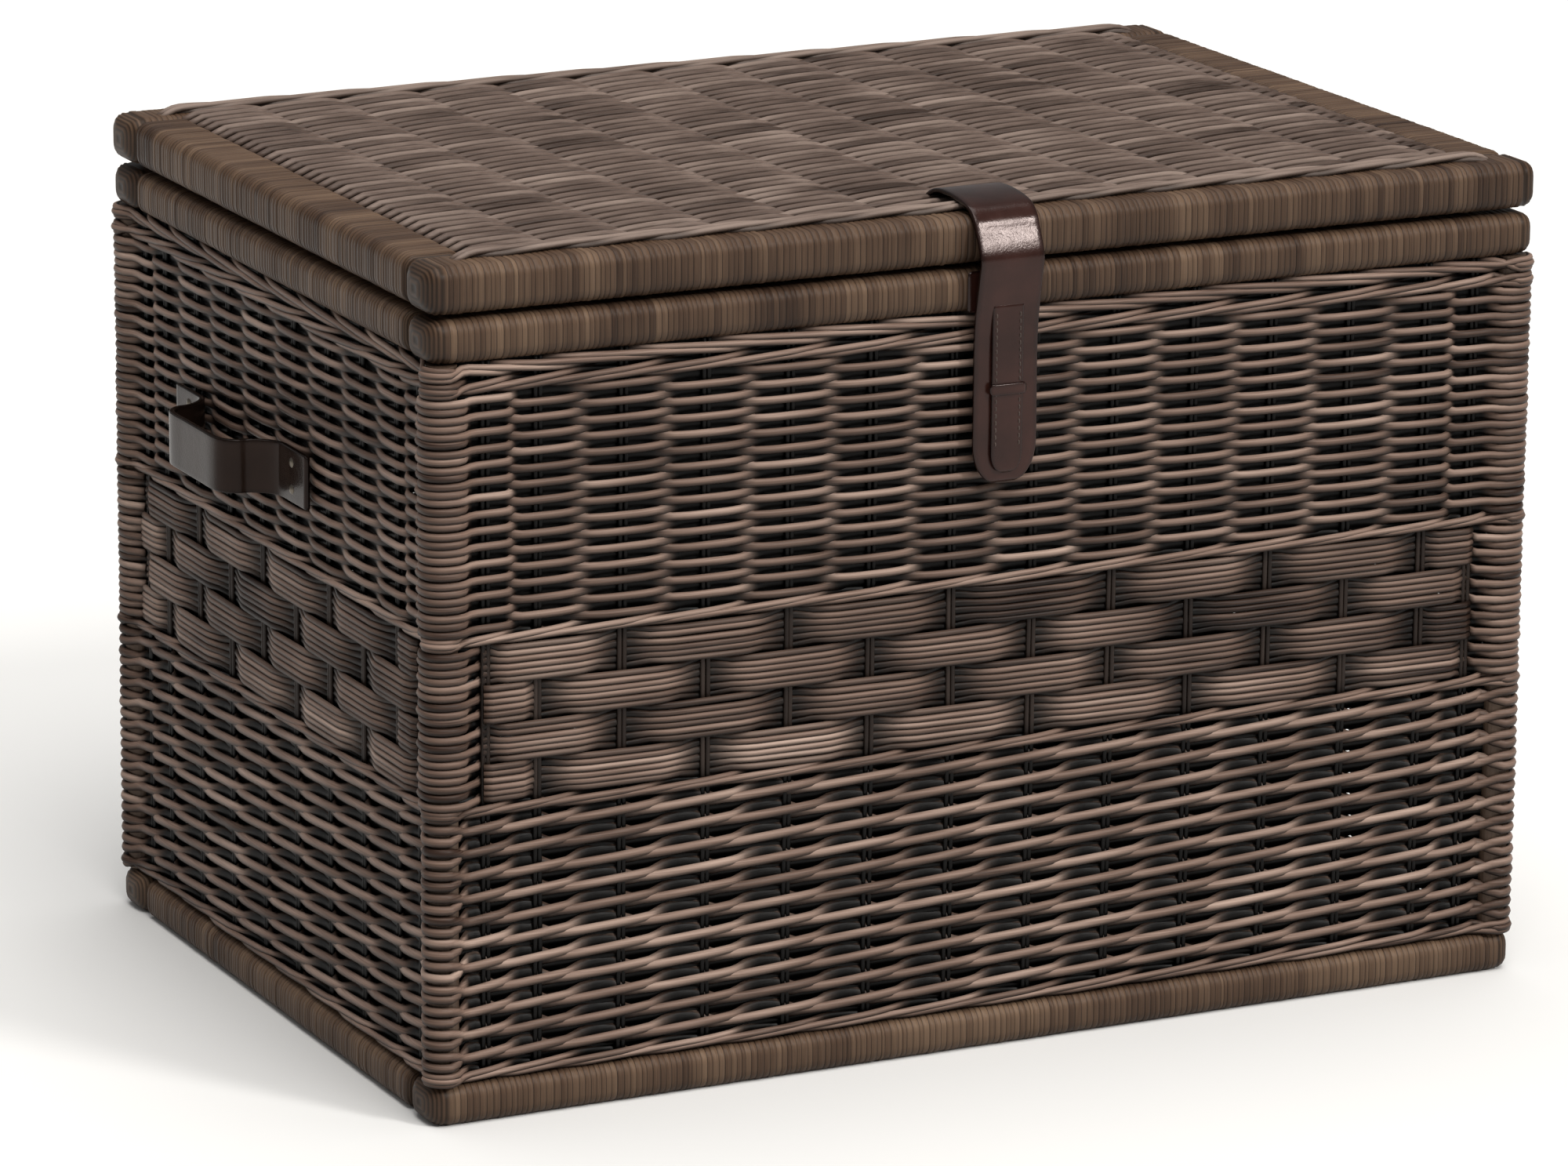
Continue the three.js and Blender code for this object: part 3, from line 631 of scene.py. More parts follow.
stop_places, stop_numbers = upright_places()
STOPS = len(stop_places)
CORNER_FADE = mm(13.0)        # a strand turns from the wall to the post over this length
corner_wide = walk.corner_weight(CORNER_FADE)
BACK_SEAM = walk.wall_starts[2] + walk.wall_lengths[2] / 2
SEAM_LAP = 4                  # points by which an open strand's ends pass each other
SPAN_TUCK = mm(7.0)           # length of a strand's end that turns to the back of the wall


def at_stop(index):
    """The place of a stop, where a fraction lies between two stops. Goes round and round."""
    index = np.asarray(index, dtype=float)
    whole = np.floor(index).astype(int)
    share = index - whole
    low = stop_places[whole % STOPS] + (whole // STOPS) * walk.length
    high = stop_places[(whole + 1) % STOPS] + ((whole + 1) // STOPS) * walk.length
    return low + (high - low) * share


def wrapped_profile(stations, values, seam=0.0):
    """Straight lines through values at stop stations, read along the fine walk.

    What lies before the seam belongs to the end of the walk's next round.
    """
    places = np.where(walk.fine < seam, walk.fine + walk.length, walk.fine)
    return np.interp(places, at_stop(stations), values)


def slow_noise(random, size, period):
    """Smooth noise round the walk, about the given size, changing over the given distance."""
    knots = max(int(walk.length / period), 4)
    values = random.normal(0.0, size, knots)
    places = np.arange(knots) * walk.length / knots
    return walk.smooth(np.interp(walk.fine, places, values, period=walk.length), period)


def tucked_in(out, span):
    """Takes a strand's ends to the back of the wall, at the two places that span gives."""
    inside = (walk.fine - span[0]) % walk.length
    size = (span[1] - span[0]) % walk.length
    edge = eased(np.clip(np.minimum(inside, size - inside) / SPAN_TUCK, 0.0, 1.0))
    return (out + WEAVE_SWING) * edge - WEAVE_SWING


def span_indices(span):
    """Numbers of the walk's points between two places, past the end of the walk if need be."""
    count = len(walk.places)
    first, last = np.searchsorted(walk.places, np.array(span) % walk.length)
    return np.arange(first, last if last > first else last + count) % count


def add_wall_strand(strands, height, out, rise, radius, tint, post_out=POST_SWING,
                    post_rise=0.0, seam=None, side_radius=None, fill=0.0, shadow=None,
                    span=None):
    """One strand round the trunk. out and rise are offsets along the fine walk.

    At the posts it takes post_out and post_rise instead. A strand with a seam is open there,
    and one with a span only runs between its two places. shadow gives, for shares of the
    weave's swing, how far forward the strand counts as, which sets its painted shade in place of
    its real depth. fill is how much taller it is where it lies behind, as bundled reeds spread out
    against their neighbours there.
    """
    random = strands.random
    out = out * (1.0 - corner_wide) + post_out * corner_wide
    rise = rise * (1.0 - corner_wide) + post_rise * corner_wide
    out = walk.smooth(out, mm(7.0)) + slow_noise(random, mm(0.22), 0.05)
    if span is not None:
        out = tucked_in(out, span)
    rise = rise + slow_noise(random, mm(0.30), 0.06)
    # How far forward the strand lies; the material paints shade from it.
    lift = np.clip(0.5 + 0.5 * out / WEAVE_SWING, 0.0, 1.0)
    if shadow is not None:
        lift = np.interp(out / WEAVE_SWING, *shadow)
    shade = tint + slow_noise(random, 0.10, 0.16) + slow_noise(random, 0.07, 0.05)
    shade = shade - 0.12 * corner_wide
    out = walk.sample(out)
    points = walk.points + walk.normals * out[:, None]
    points[:, 2] += height + walk.sample(rise)
    behind = np.clip(0.35 - out / WEAVE_SWING, 0.0, 1.0)
    tall = (side_radius or radius) * (1.0 + fill * behind)
    columns = [points, walk.normals, tall, walk.sample(shade), walk.sample(lift)]
    if span is not None:
        columns = [c[span_indices(span)] for c in columns]
    if seam is not None:
        first = int(np.searchsorted(walk.places, seam))
        columns = [np.concatenate([c[first:], c[:first + SEAM_LAP]]) for c in columns]
        tuck = np.clip(np.arange(len(columns[0])) / SEAM_LAP, 0.0, 1.0)
        columns[0] = columns[0] - columns[1] * (mm(2.0) * (1.0 - tuck))[:, None]
    points, normals, tall, shade, lift = columns
    closed = seam is None and span is None
    strands.add(points, normals, radius, tall, shade, lift, closed=closed)


def plain_out(parity, front_flat, back_flat, ease):
    """In front of every second upright and behind the others, with flats over the uprights."""
    places, values = [], []
    for index in range(-1, STOPS + 1):
        number = stop_numbers[index % STOPS]
        side = 1 if (number + parity) % 2 == 0 else -1
        value = POST_SWING if number < 0 else WEAVE_SWING * side
        place = float(at_stop(index))
        flat = front_flat if value > 0 else back_flat
        places.extend([place - flat, place + flat])
        values.extend([value, value])
    return walk.smooth(np.interp(walk.fine, places, values), ease)


# ---- Wall weaves, from the floor up -----------------------------------------------------------

BOTTOM_WALE = mm(9.0)
LOWER_ZONE = mm(147.0)
MIDDLE_WALE = mm(8.0)
BRICK_ZONE = mm(92.0)
TOP_WALE = mm(19.0)
WALE_RADIUS = mm(2.0)
BRICK_LAP = mm(6.0)           # brick reeds reach past the end uprights of a wall
CORNER_GAP = mm(2.0)          # corner rows stop short of the end uprights
CORNER_ROWS = 19              # rows of single reed round each post beside the bricks
LOWER_ROWS = 11
BRICK_ROWS = 4
BRICK_REEDS = 6
RAND_ROWS = 29
LOWER_BOTTOM = WALL_BOTTOM + BOTTOM_WALE
BRICK_BOTTOM = LOWER_BOTTOM + LOWER_ZONE + MIDDLE_WALE
RAND_BOTTOM = BRICK_BOTTOM + BRICK_ZONE + MIDDLE_WALE

# How one strand passes its uprights, as (place counted in uprights, outwards, upwards), until
# the pattern starts again.
PAIRING = (
    (-0.86, 0.10, -0.50), (-0.62, 0.80, -0.42), (-0.30, 1.00, -0.10), (0.12, 1.00, 0.34),
    (0.30, 0.62, 0.46), (0.50, -0.35, 0.50), (0.80, -1.0, 0.30),
)
WALING = (
    (-0.80, 0.0, -0.50), (-0.45, 0.9, -0.42), (0.0, 1.05, -0.22), (1.0, 1.05, 0.30),
    (1.25, 0.7, 0.46), (1.50, -0.4, 0.50), (1.9, -1.0, 0.1),
)
BORDER_WALING = (
    (-0.85, 0.0, -0.50), (-0.45, 0.7, -0.42), (0.0, 1.0, -0.25), (1.0, 1.0, 0.25),
    (1.30, 0.6, 0.42), (1.55, 0.0, 0.50), (1.9, -0.2, 0.0),
)


def repeated(pattern, starts):
    """Places, outward and upward shares of a pattern that starts again at each start."""
    rows = [(start + place, out, rise) for start in starts for place, out, rise in pattern]
    return np.array(rows).T


def strand_profiles(pattern, starts, reach, height, seam=0.0):
    """Outward and upward offsets along the walk of a strand that follows a pattern."""
    stations, outs, rises = repeated(pattern, starts)
    return [walk.smooth(wrapped_profile(stations, values, seam), mm(9.0))
            for values in (outs * reach, rises * height)]


def wale_band(strands, height, tall, direction=1):
    """Three rods, each over two uprights on a slant and behind the third."""
    climb = tall - 2 * WALE_RADIUS
    for phase in range(3):
        out, rise = strand_profiles(WALING, range(-6 + phase, 2 * STOPS + 7, 3),
                                    WEAVE_SWING + mm(0.4), direction * climb, BACK_SEAM)
        tint = 0.5 + strands.random.normal(0.0, 0.05)
        post_out = POST_SWING + (mm(1.0) if phase == 1 else 0.0)
        add_wall_strand(strands, height, out, rise, WALE_RADIUS, tint, post_out,
                        (phase - 1) * climb / 2, BACK_SEAM, fill=0.6)


def packing_rows(name, seed, heights, tall):
    """Level reeds behind the uprights, closing the gaps between rows that lie in front. Their outer
    side is painted in full shade.
    """
    strands = Strands(seed, sides=6, two_faced=True)
    level = np.full_like(walk.fine, -WEAVE_SWING)
    for height in heights:
        # Painted shade: they count as lying fully back, so their outer side is nearly black.
        add_wall_strand(strands, height, level, 0.0, mm(1.5), 0.40, post_out=mm(-2.0),
                        side_radius=tall, shadow=([-1.0, 1.0], [0.0, 0.0]))
    return strands.build(name, weaver_material)


def lower_zone():
    """Pairing: two strands, each in front of every second upright, crossing between them."""
    strands = Strands(1, two_faced=True)
    pitch = LOWER_ZONE / LOWER_ROWS
    profiles = [strand_profiles(PAIRING, range(-3 + phase, STOPS + 4, 2), WEAVE_SWING,
                                pitch * 0.24) for phase in range(2)]
    for row in range(LOWER_ROWS):
        for phase, (out, rise) in enumerate(profiles):
            tint = 0.52 + strands.random.normal(0.0, 0.07)
            add_wall_strand(strands, LOWER_BOTTOM + (row + 0.5) * pitch, out, rise, mm(2.3), tint,
                            POST_SWING, (phase - 0.5) * pitch / 2, side_radius=mm(2.8), fill=1.35)
    levels = LOWER_BOTTOM + pitch * np.arange(LOWER_ROWS + 1)
    return (strands.build("lower_twined_rows", weaver_material),
            packing_rows("lower_packing_rows", 7, levels, mm(4.6)))


def single_rows(strands, rows, bottom, pitch, fill, span=None):
    """Rows of one reed in front of every second upright, taking turns from row to row."""
    outs = [plain_out(parity, mm(13.0), mm(13.0), mm(12.0)) for parity in (0, 1)]
    for row in rows:
        tint = 0.5 + strands.random.normal(0.0, 0.07)
        add_wall_strand(strands, bottom + (row + 0.5) * pitch, outs[row % 2], 0.0, REED, tint,
                        side_radius=REED_TALL, fill=fill, span=span)


def corner_rows():
    """Single reeds round the posts, filling each corner between the ends of the brick rows."""
    strands = Strands(9, two_faced=True)
    for side in range(4):
        next_side = (side + 1) % 4
        span = (wall_uprights(side)[-1] + CORNER_GAP, wall_uprights(next_side)[0] - CORNER_GAP)
        single_rows(strands, range(CORNER_ROWS), BRICK_BOTTOM, BRICK_ZONE / CORNER_ROWS, 0.5,
                    span)
    return strands.build("corner_rows", weaver_material)


def brick_zone():
    """Bundles of six reeds, each in front of one upright and behind the next."""
    strands = Strands(2, two_faced=True)
    pitch = BRICK_ZONE / BRICK_ROWS
    reed_pitch = (pitch - mm(0.5)) / BRICK_REEDS
    for row in range(BRICK_ROWS):
        middle = BRICK_BOTTOM + (row + 0.5) * pitch
        # The top row goes behind the second upright, so the lowest of four goes in front.
        out = plain_out(row, mm(24.0), mm(4.0), mm(13.0))
        spread = 1.0 + 0.26 * np.clip(-out / WEAVE_SWING, 0.0, 1.0)
        bundle = 0.5 + strands.random.normal(0.0, 0.04)
        waver = slow_noise(strands.random, 0.16, 0.07)
        for reed in range(BRICK_REEDS):
            offset = (reed - (BRICK_REEDS - 1) / 2) * reed_pitch
            crown = mm(1.0) * (1.0 - (2 * abs(offset) / pitch) ** 2)
            # Painted shade: the outer two reeds of each bundle are darker, and every reed is darker
            # where it lies back behind the uprights.
            edge_reed_shade = 0.74 if reed in (0, BRICK_REEDS - 1) else 1.0
            rise = offset * (spread - 1.0)
            tint = bundle + strands.random.normal(0.0, 0.06) - 0.12
            for side in range(4):
                first, *_, last = wall_uprights(side)
                add_wall_strand(strands, middle + offset, out + crown, rise, reed_pitch * 0.5,
                                tint + waver, side_radius=reed_pitch * 0.54, fill=0.26,
                                shadow=([-1.0, -0.6, 0.2, 1.0],
                                        [0.10, 0.26, 0.48 * edge_reed_shade, 0.72 * edge_reed_shade]),
                                span=(first - BRICK_LAP, last + BRICK_LAP))
    levels = BRICK_BOTTOM + pitch * np.arange(BRICK_ROWS + 1)
    return (strands.build("brick_rows", weaver_material), corner_rows(),
            packing_rows("brick_packing_rows", 8, levels, mm(5.0)))


def rand_zone():
    """The upper weave of single rows, in two pieces."""
    pitch = (WALL_TOP - TOP_WALE - RAND_BOTTOM) / RAND_ROWS
    pieces = []
    for part, rows in enumerate([range(15), range(15, RAND_ROWS)]):
        strands = Strands(3 + part, two_faced=True)
        single_rows(strands, rows, RAND_BOTTOM, pitch, 1.05)
        pieces.append(strands.build(f"upper_rand_rows_{part + 1}", weaver_material))
    return pieces


def wales():
    strands = Strands(5, two_faced=True)
    half = TOP_WALE / 2
    wale_band(strands, WALL_BOTTOM + BOTTOM_WALE / 2, BOTTOM_WALE)
    wale_band(strands, LOWER_BOTTOM + LOWER_ZONE + MIDDLE_WALE / 2, MIDDLE_WALE)
    wale_band(strands, BRICK_BOTTOM + BRICK_ZONE + MIDDLE_WALE / 2, MIDDLE_WALE)
    wale_band(strands, WALL_TOP - 1.5 * half, half)
    wale_band(strands, WALL_TOP - 0.5 * half, half, direction=-1)
    levels = WALL_TOP - np.array([mm(2.0), half, TOP_WALE])
    return (strands.build("wale_bands", weaver_material),
            packing_rows("wale_packing_rows", 15, levels, mm(4.6)))


def uprights():
    strands = Strands(6)
    random = strands.random
    sink = mm(5.0)
    heights = np.linspace(WALL_BOTTOM - sink, WALL_TOP + sink, 40)
    # They show between the bricks and lie in shadow behind the other weaves, and that shade is
    # painted into their colour.
    brick_top = BRICK_BOTTOM + BRICK_ZONE
    shown_heights = [BRICK_BOTTOM - mm(12), BRICK_BOTTOM, brick_top, brick_top + mm(12)]
    lift = np.interp(heights, shown_heights, [0.06, 0.34, 0.34, 0.06])
    for place in stop_places[stop_numbers >= 0]:
        index = int(np.argmin(np.abs(walk.places - place)))
        normal = walk.normals[index]
        along = np.array([-normal[1], normal[0], 0.0])
        middle = walk.points[index] + along * (place - walk.places[index])
        lean = random.normal(0.0, mm(0.5))
        for side in (-1, 1):
            waver = np.interp(heights, np.linspace(heights[0], heights[-1], 6),
                              random.normal(0.0, mm(0.25), 6))
            share = (heights - heights[0]) / (heights[-1] - heights[0]) - 0.5
            offset = side * STAKE_OFFSET + waver + lean * share
            points = middle[None, :] + along[None, :] * offset[:, None]
            points[:, 2] = heights
            tint = 0.45 + random.normal(0, 0.08)
            strands.add(points, normal, STAKE_FLAT, STAKE, tint, lift)
    return strands.build("wall_uprights", stake_material)


# ---- Rails wrapped in flat reed ---------------------------------------------------------------

WRAP_PITCH = mm(3.6)
WRAP_RELIEF = mm(0.45)
# Across one wrap: share of its width, share of the relief it lies in and how far forward it is,
# which sets the painted shade at its edges.
WRAP_SHAPE = ((0.0, 1.0, 0.0), (0.13, 0.16, 0.8), (0.5, 0.0, 1.0), (0.87, 0.16, 0.8))
RAIL_OVERHANG = {"base_rail": mm(2.0), "rim_rail": mm(2.0), "lid_rail": mm(3.0)}
RAIL_TONE = {"base_rail": 0.62, "rim_rail": 0.5, "lid_rail": 0.5}
SIDE_RAIL_GAP = mm(1.2)       # dark joint where a side rail meets a long one
DOME_POWER = 2 / 2.6          # 1 is a half ellipse, less is squarer
RAIL_EDGE = mm(8.0)           # rounding of the rails, as in the frame
LONG_RAIL_END = mm(12.0)      # length of the rounded ends of the front and back rails
SIDE_RAIL_END = mm(2.5)
FIRST_RAIL_SEED = 40


def domed_end(end, tint):
    """Stations over a rail's rounded end from its tip: wraps that narrow towards the middle."""
    stations = []
    for index in range(13):
        angle = math.radians(4 + 6.6 * index)
        dip = WRAP_RELIEF * 1.4 if index % 2 == 0 else 0.0
        distance = end * (1.0 - math.cos(angle) ** DOME_POWER) + dip * math.cos(angle)
        size = math.sin(angle) ** DOME_POWER
        # Stations in a groove get painted shade; the others lie forward.
        stations.append((distance, dip * math.sin(angle), tint, 0.85 * (index % 2), size))
    return stations


def wrapped_rail(name, node, seed, end, overhang, tone):
    """A rail under its winding of flat reed, with ends that are rounded over a given length."""
    low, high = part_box(node)
    size = high - low
    along_x = size.x > size.y
    length = float(size.x if along_x else size.y) + 2 * overhang
    half_depth = float(size.y if along_x else size.x) / 2
    half_height = float(size.z) / 2
    middle = np.array((low + high) / 2)
    random = np.random.default_rng(SEED * 1000 + seed)
    section, section_out = rounded_section(half_depth, half_height, RAIL_EDGE, 4, [0.0])

    wraps = int(round(length / WRAP_PITCH))
    widths = 1.0 + random.normal(0.0, 0.19, wraps).clip(-0.45, 0.6)
    edges = np.concatenate([[0.0], np.cumsum(widths)]) * length / widths.sum()
    tints = np.convolve(random.normal(0.0, 0.22, wraps + 8), np.ones(9) / 9, "valid")
    tints = tone + tints + random.normal(0.0, 0.085, wraps)
    proud = random.normal(0.0, mm(0.10), wraps)
    stations = []
    for wrap in range(wraps):
        start, width = edges[wrap], edges[wrap + 1] - edges[wrap]
        for share, relief, lift in WRAP_SHAPE:
            inset = relief * WRAP_RELIEF - (proud[wrap] if relief < 1.0 else 0.0)
            stations.append((start + share * width, inset, tints[wrap], lift, 1.0))
    straight = [station for station in stations if end < station[0] < length - end]
    last = [(length - distance, *rest) for distance, *rest in domed_end(end, tints[-1])]
    stations = domed_end(end, tints[0]) + straight + last[::-1]

    verts, colours = [], []
    for distance, inset, tint, lift, size in stations:
        across, height = ((section - section_out * inset) * size).T
        along = np.full(len(section), distance - length / 2)
        columns = [along, across, height] if along_x else [-across, along, height]
        verts.append(np.column_stack(columns) + middle)
        colours.append(np.tile([tint, lift, distance, random.random()], (len(section), 1)))
    faces = Faces()
    faces.add_tube(len(verts), len(section))
    return faces.make_mesh(name, np.concatenate(verts),
                           rail_x_material if along_x else rail_y_material,
                           np.concatenate(colours))


def add_rails():
    seed = FIRST_RAIL_SEED
    for prefix, body in (("base_rail", "trunk"), ("rim_rail", "trunk"), ("lid_rail", "lid")):
        for side in ("front", "back", "left", "right"):
            node = f"{prefix}_{side}"
            long_rail = side in ("front", "back")
            overhang = RAIL_OVERHANG[prefix] if long_rail else -SIDE_RAIL_GAP
            end = LONG_RAIL_END if long_rail else SIDE_RAIL_END
            rail = wrapped_rail(f"wrapped_{node}", node, seed, end, overhang, RAIL_TONE[prefix])
            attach(rail, body)
            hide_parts(node)
            seed += 1


# ---- Flat weaving of the lid and floor --------------------------------------------------------

FLAT_STOPS = FRONT_UPRIGHTS[1:-1]   # uprights of the lid and floor, as places along X


def even_rows(half_size, pitch):
    """Evenly spaced places from one end to the other, about a pitch apart."""
    return np.linspace(-half_size, half_size, int(round(2 * half_size / pitch)) + 1)


def read_soft(xs, places, values, window_size):
    """Values at xs, from straight lines through the given ones that are then softened."""
    fine = np.arange(xs[0] - mm(15), xs[-1] + mm(15), mm(1.0))
    soft = np.convolve(np.interp(fine, places, values), soft_window(window_size), "same")
    return np.interp(xs, fine, soft)


def wavering(random, xs, size, knots):
    return np.interp(xs, np.linspace(xs[0], xs[-1], knots), random.normal(0, size, knots))


def flat_twined_rows(strands, half_length, rows_y, level, pitch, reach, radius, step):
    """Pairing rows along X over uprights that lie along Y, with flat packing below them."""
    random = strands.random
    xs = even_rows(half_length, step)
    flat = np.ones_like(xs)
    stops = np.concatenate([[-half_length - mm(20)], FLAT_STOPS, [half_length + mm(20)]])
    numbers = np.arange(len(stops), dtype=float)
    edge = np.clip((np.abs(xs) - (half_length - mm(9))) / mm(9), 0, 1)
    for number, y in enumerate(rows_y):
        for phase in range(2):
            starts = range(-2 + (phase + number) % 2, len(stops) + 2, 2)
            stations, outs, shifts = repeated(PAIRING, starts)
            kept = (stations >= 0) & (stations <= len(stops) - 1)
            places = np.interp(stations[kept], numbers, stops)
            height = read_soft(xs, places, outs[kept] * reach, 11)
            shift = read_soft(xs, places, shifts[kept] * pitch * 0.52, 11)
            tint = 0.5 + random.normal(0, 0.09) + wavering(random, xs, 0.15, 16)
            waver = wavering(random, xs, mm(0.35), 14)
            points = np.column_stack([xs, y + shift + waver, level + height - edge * mm(3.0)])
            lift = np.clip(0.5 + 0.5 * height / reach, 0, 1)
            wide = radius * (1.25 + 0.7 * np.clip(0.25 - height / reach, 0.0, 1.0))
            strands.add(points, UP, radius, wide, tint, lift)
        if number > 0:
            low = np.column_stack([xs, flat * (y + rows_y[number - 1]) / 2,
                                   flat * (level - reach)])
            # Painted shade: the flat packing counts as lying far back, so it is darker.
            strands.add(low, UP, mm(1.2), pitch * 0.46, 0.42, 0.05)


def flat_uprights(strands, half_rows, count, level, tint, tint_range=0.0):
    """Pairs of reeds along Y. Random tints are drawn only where a range is given."""
    ys = np.linspace(-half_rows, half_rows, count)
    flat = np.ones(count)
    for x in FLAT_STOPS:
        for side in (-1, 1):
            points = np.column_stack([flat * (x + side * STAKE_OFFSET), ys, flat * level])
            drawn = strands.random.normal(0, tint_range) if tint_range else 0.0
            # Painted shade: they count as lying a little back, so they are somewhat darker.
            strands.add(points, UP, STAKE, STAKE, tint + drawn, 0.6)


def lid_weave():
    level = LID_TOP - mm(3.0)
    radius = mm(2.1)
    pitch = mm(11.6)
    half_rows = HALF_Y - mm(30.0)
    strands = Strands(10)
    flat_twined_rows(strands, HALF_X - RAIL_DEPTH + mm(4.0), even_rows(half_rows, pitch), level,
                     pitch, STAKE + radius, radius, mm(4.6))
    rows = strands.build("lid_twined_rows", lid_material)
    stakes = Strands(11)
    flat_uprights(stakes, half_rows + mm(8), 24, level, 0.45, 0.06)
    return rows, stakes.build("lid_uprights", stake_material)


def lid_border():
    """Three-rod wales lying on the front and back lid rails."""
    strands = Strands(12)
    half_length = HALF_X - mm(22.0)
    xs = np.linspace(-half_length, half_length, int(2 * half_length / mm(4.6)))
    end = np.clip((np.abs(xs) - (half_length - mm(14))) / mm(14), 0, 1) ** 2
    for side in (-1, 1):
        for phase in range(3):
            stations, outs, shifts = repeated(BORDER_WALING, range(-12 + phase, 16, 3))
            places = stations * FRONT_PITCH
            height = read_soft(xs, places, outs * mm(2.6), 13)
            y = side * (HALF_Y - mm(22.5)) + read_soft(xs, places, shifts * mm(9.0), 13)
            points = np.column_stack([xs, y, LID_TOP + mm(0.6) + height - end * mm(4.5)])
            tint = 0.80 + wavering(strands.random, xs, 0.10, 12)
            strands.add(points, UP, mm(1.9), mm(1.9), tint, np.clip(height / mm(2.6), 0.1, 1))
    return strands.build("lid_border_wales", lid_material)


def floor_weave():
    low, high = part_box("floor_panel")
    level = float(low.z + high.z) / 2
    radius = mm(2.0)
    pitch = mm(13.0)
    half_rows = float(high.y) - mm(4.0)
    strands = Strands(13, sides=6)
    flat_twined_rows(strands, float(high.x) - mm(1.0), even_rows(half_rows, pitch), level, pitch,
                     STAKE + radius - mm(0.6), radius, mm(8.0))
    rows = strands.build("floor_twined_rows", lid_material)
    stakes = Strands(14, sides=6)
    flat_uprights(stakes, half_rows + mm(2), 12, level, 0.5)
    return rows, stakes.build("floor_uprights", stake_material)


def add_weaves():
    walls = [*lower_zone(), *brick_zone(), *rand_zone(), *wales(), uprights()]
    for piece in walls:
        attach(piece, "trunk")
    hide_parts("wall_front", "wall_back", "wall_left", "wall_right")
    for piece in lid_weave():
        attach(piece, "lid")
        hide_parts("lid_panel")
    border = lid_border()
    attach(border, "lid")
    for piece in floor_weave():
        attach(piece, "trunk")
        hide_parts("floor_panel")


# ---- Leather strap, tongue, backing and handles -----------------------------------------------

LEATHER_EDGE = mm(0.9)        # rounding of a cut edge
LEATHER_FLATS = (0.86, 0.6, 0.2, -0.2, -0.6, -0.86)
THREAD = mm(0.45)             # radius of a stitch
STITCH_REACH = mm(1.35)       # half its length
STITCH_SPACING = mm(4.2)


def smooth_route(corners, step=mm(2.0)):
    """A soft curve through the corners, as evenly spaced points."""
    corners = np.array(corners, dtype=float)
    before = np.concatenate([[2 * corners[0] - corners[1]], corners[:-1]])
    after = np.concatenate([corners[1:], [2 * corners[-1] - corners[-2]]])
    slopes = (after - before) / 2
    points = []
    for index in range(len(corners) - 1):
        low, high = corners[index], corners[index + 1]
        count = max(int(np.linalg.norm(high - low) / mm(0.5)), 2)
        share = (np.arange(count) / count)[:, None]
        points.append(low * (2 * share ** 3 - 3 * share ** 2 + 1)
                      + high * (3 * share ** 2 - 2 * share ** 3)
                      + slopes[index] * (share ** 3 - 2 * share ** 2 + share)
                      + slopes[index + 1] * (share ** 3 - share ** 2))
    points = np.concatenate([*points, corners[-1:]])
    length = distances(points)
    wanted = np.linspace(0.0, length[-1], int(length[-1] / step) + 1)
    return resample(wanted, length, points)


def leather_band(name, route, across, half_wide, half_thick, tip=None, seed=0, wave=mm(0.25),
                 material=leather_material):
    """A leather band along a route of points. across is the direction of its width.

    tip is the length and the half width of a tongue-shaped end.
    """
    random = np.random.default_rng(SEED * 1000 + seed)
    across = np.broadcast_to(np.asarray(across, dtype=float), route.shape)
    along = unit(np.gradient(route, axis=0))
    out = unit(np.cross(along, across))
    length = distances(route)
    total = length[-1]
    knots = np.linspace(0.0, total, max(int(total / mm(28.0)), 3))
    waver = np.interp(length, knots, random.normal(0.0, wave, len(knots)))
    waver *= np.clip(np.minimum(length, total - length) / mm(20.0), 0.0, 1.0)
    widths = np.full(len(route), half_wide)
    if tip:
        share = np.linspace(0.0, 1.0, 40)
        narrowing = half_wide + (tip[1] - half_wide) * share ** 2
        left = (1 - share) ** 2 * tip[0] + 2 * share * (1 - share) * tip[0] * 0.3
        widths = np.interp(total - length, left[::-1], narrowing[::-1])
    end_round = np.minimum(length, total - length) / mm(1.6)
    thin = np.sqrt(np.clip(1.0 - (1.0 - np.clip(end_round, 0.0, 1.0)) ** 2, 0.04, 1.0))
    verts, colours = [], []
    for index, point in enumerate(route):
        half = widths[index] - (1.0 - thin[index]) * mm(2.0)
        section, _ = rounded_section(half, half_thick, LEATHER_EDGE, 3, LEATHER_FLATS)
        inward = np.clip((half - np.abs(section[:, 0])) / mm(2.5), 0.0, 1.0)
        bulge = waver[index] * (0.4 + 0.6 * section[:, 0] / half_wide)
        offset = section[:, 1] * thin[index] + bulge
        verts.append(point + section[:, :1] * across[index] + offset[:, None] * out[index])
        same = np.ones(len(section))
        colours.append(np.column_stack([same * 0.5, inward * min(1.0, end_round[index]),
                                        same * length[index], same * 0.0]))
    faces = Faces()
    faces.add_tube(len(verts), len(verts[0]))
    return faces.make_mesh(name, np.concatenate(verts), material, np.concatenate(colours),
                           with_uvs=False)


def stitches(name, route, outward):
    """A row of saddle stitches along a route, on a surface that faces outward."""
    strands = Strands(60, sides=6)
    length = distances(route)
    outward = np.array(outward, dtype=float)
    shares = np.linspace(-1, 1, 7)
    sink = (shares ** 4)[:, None] * mm(0.9)
    for middle in np.arange(STITCH_SPACING, length[-1] - STITCH_SPACING / 2, STITCH_SPACING):
        points = resample(middle + shares * STITCH_REACH, length, route)
        strands.add(points + outward * (mm(0.12) - sink), outward, THREAD, THREAD * 1.15)
    return strands.build(name, thread_material)


strap_low, strap_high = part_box("strap_tail")
anchor_low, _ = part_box("strap_anchor")
tongue_low, tongue_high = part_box("strap_tongue")
backing_low, backing_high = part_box("strap_backing")


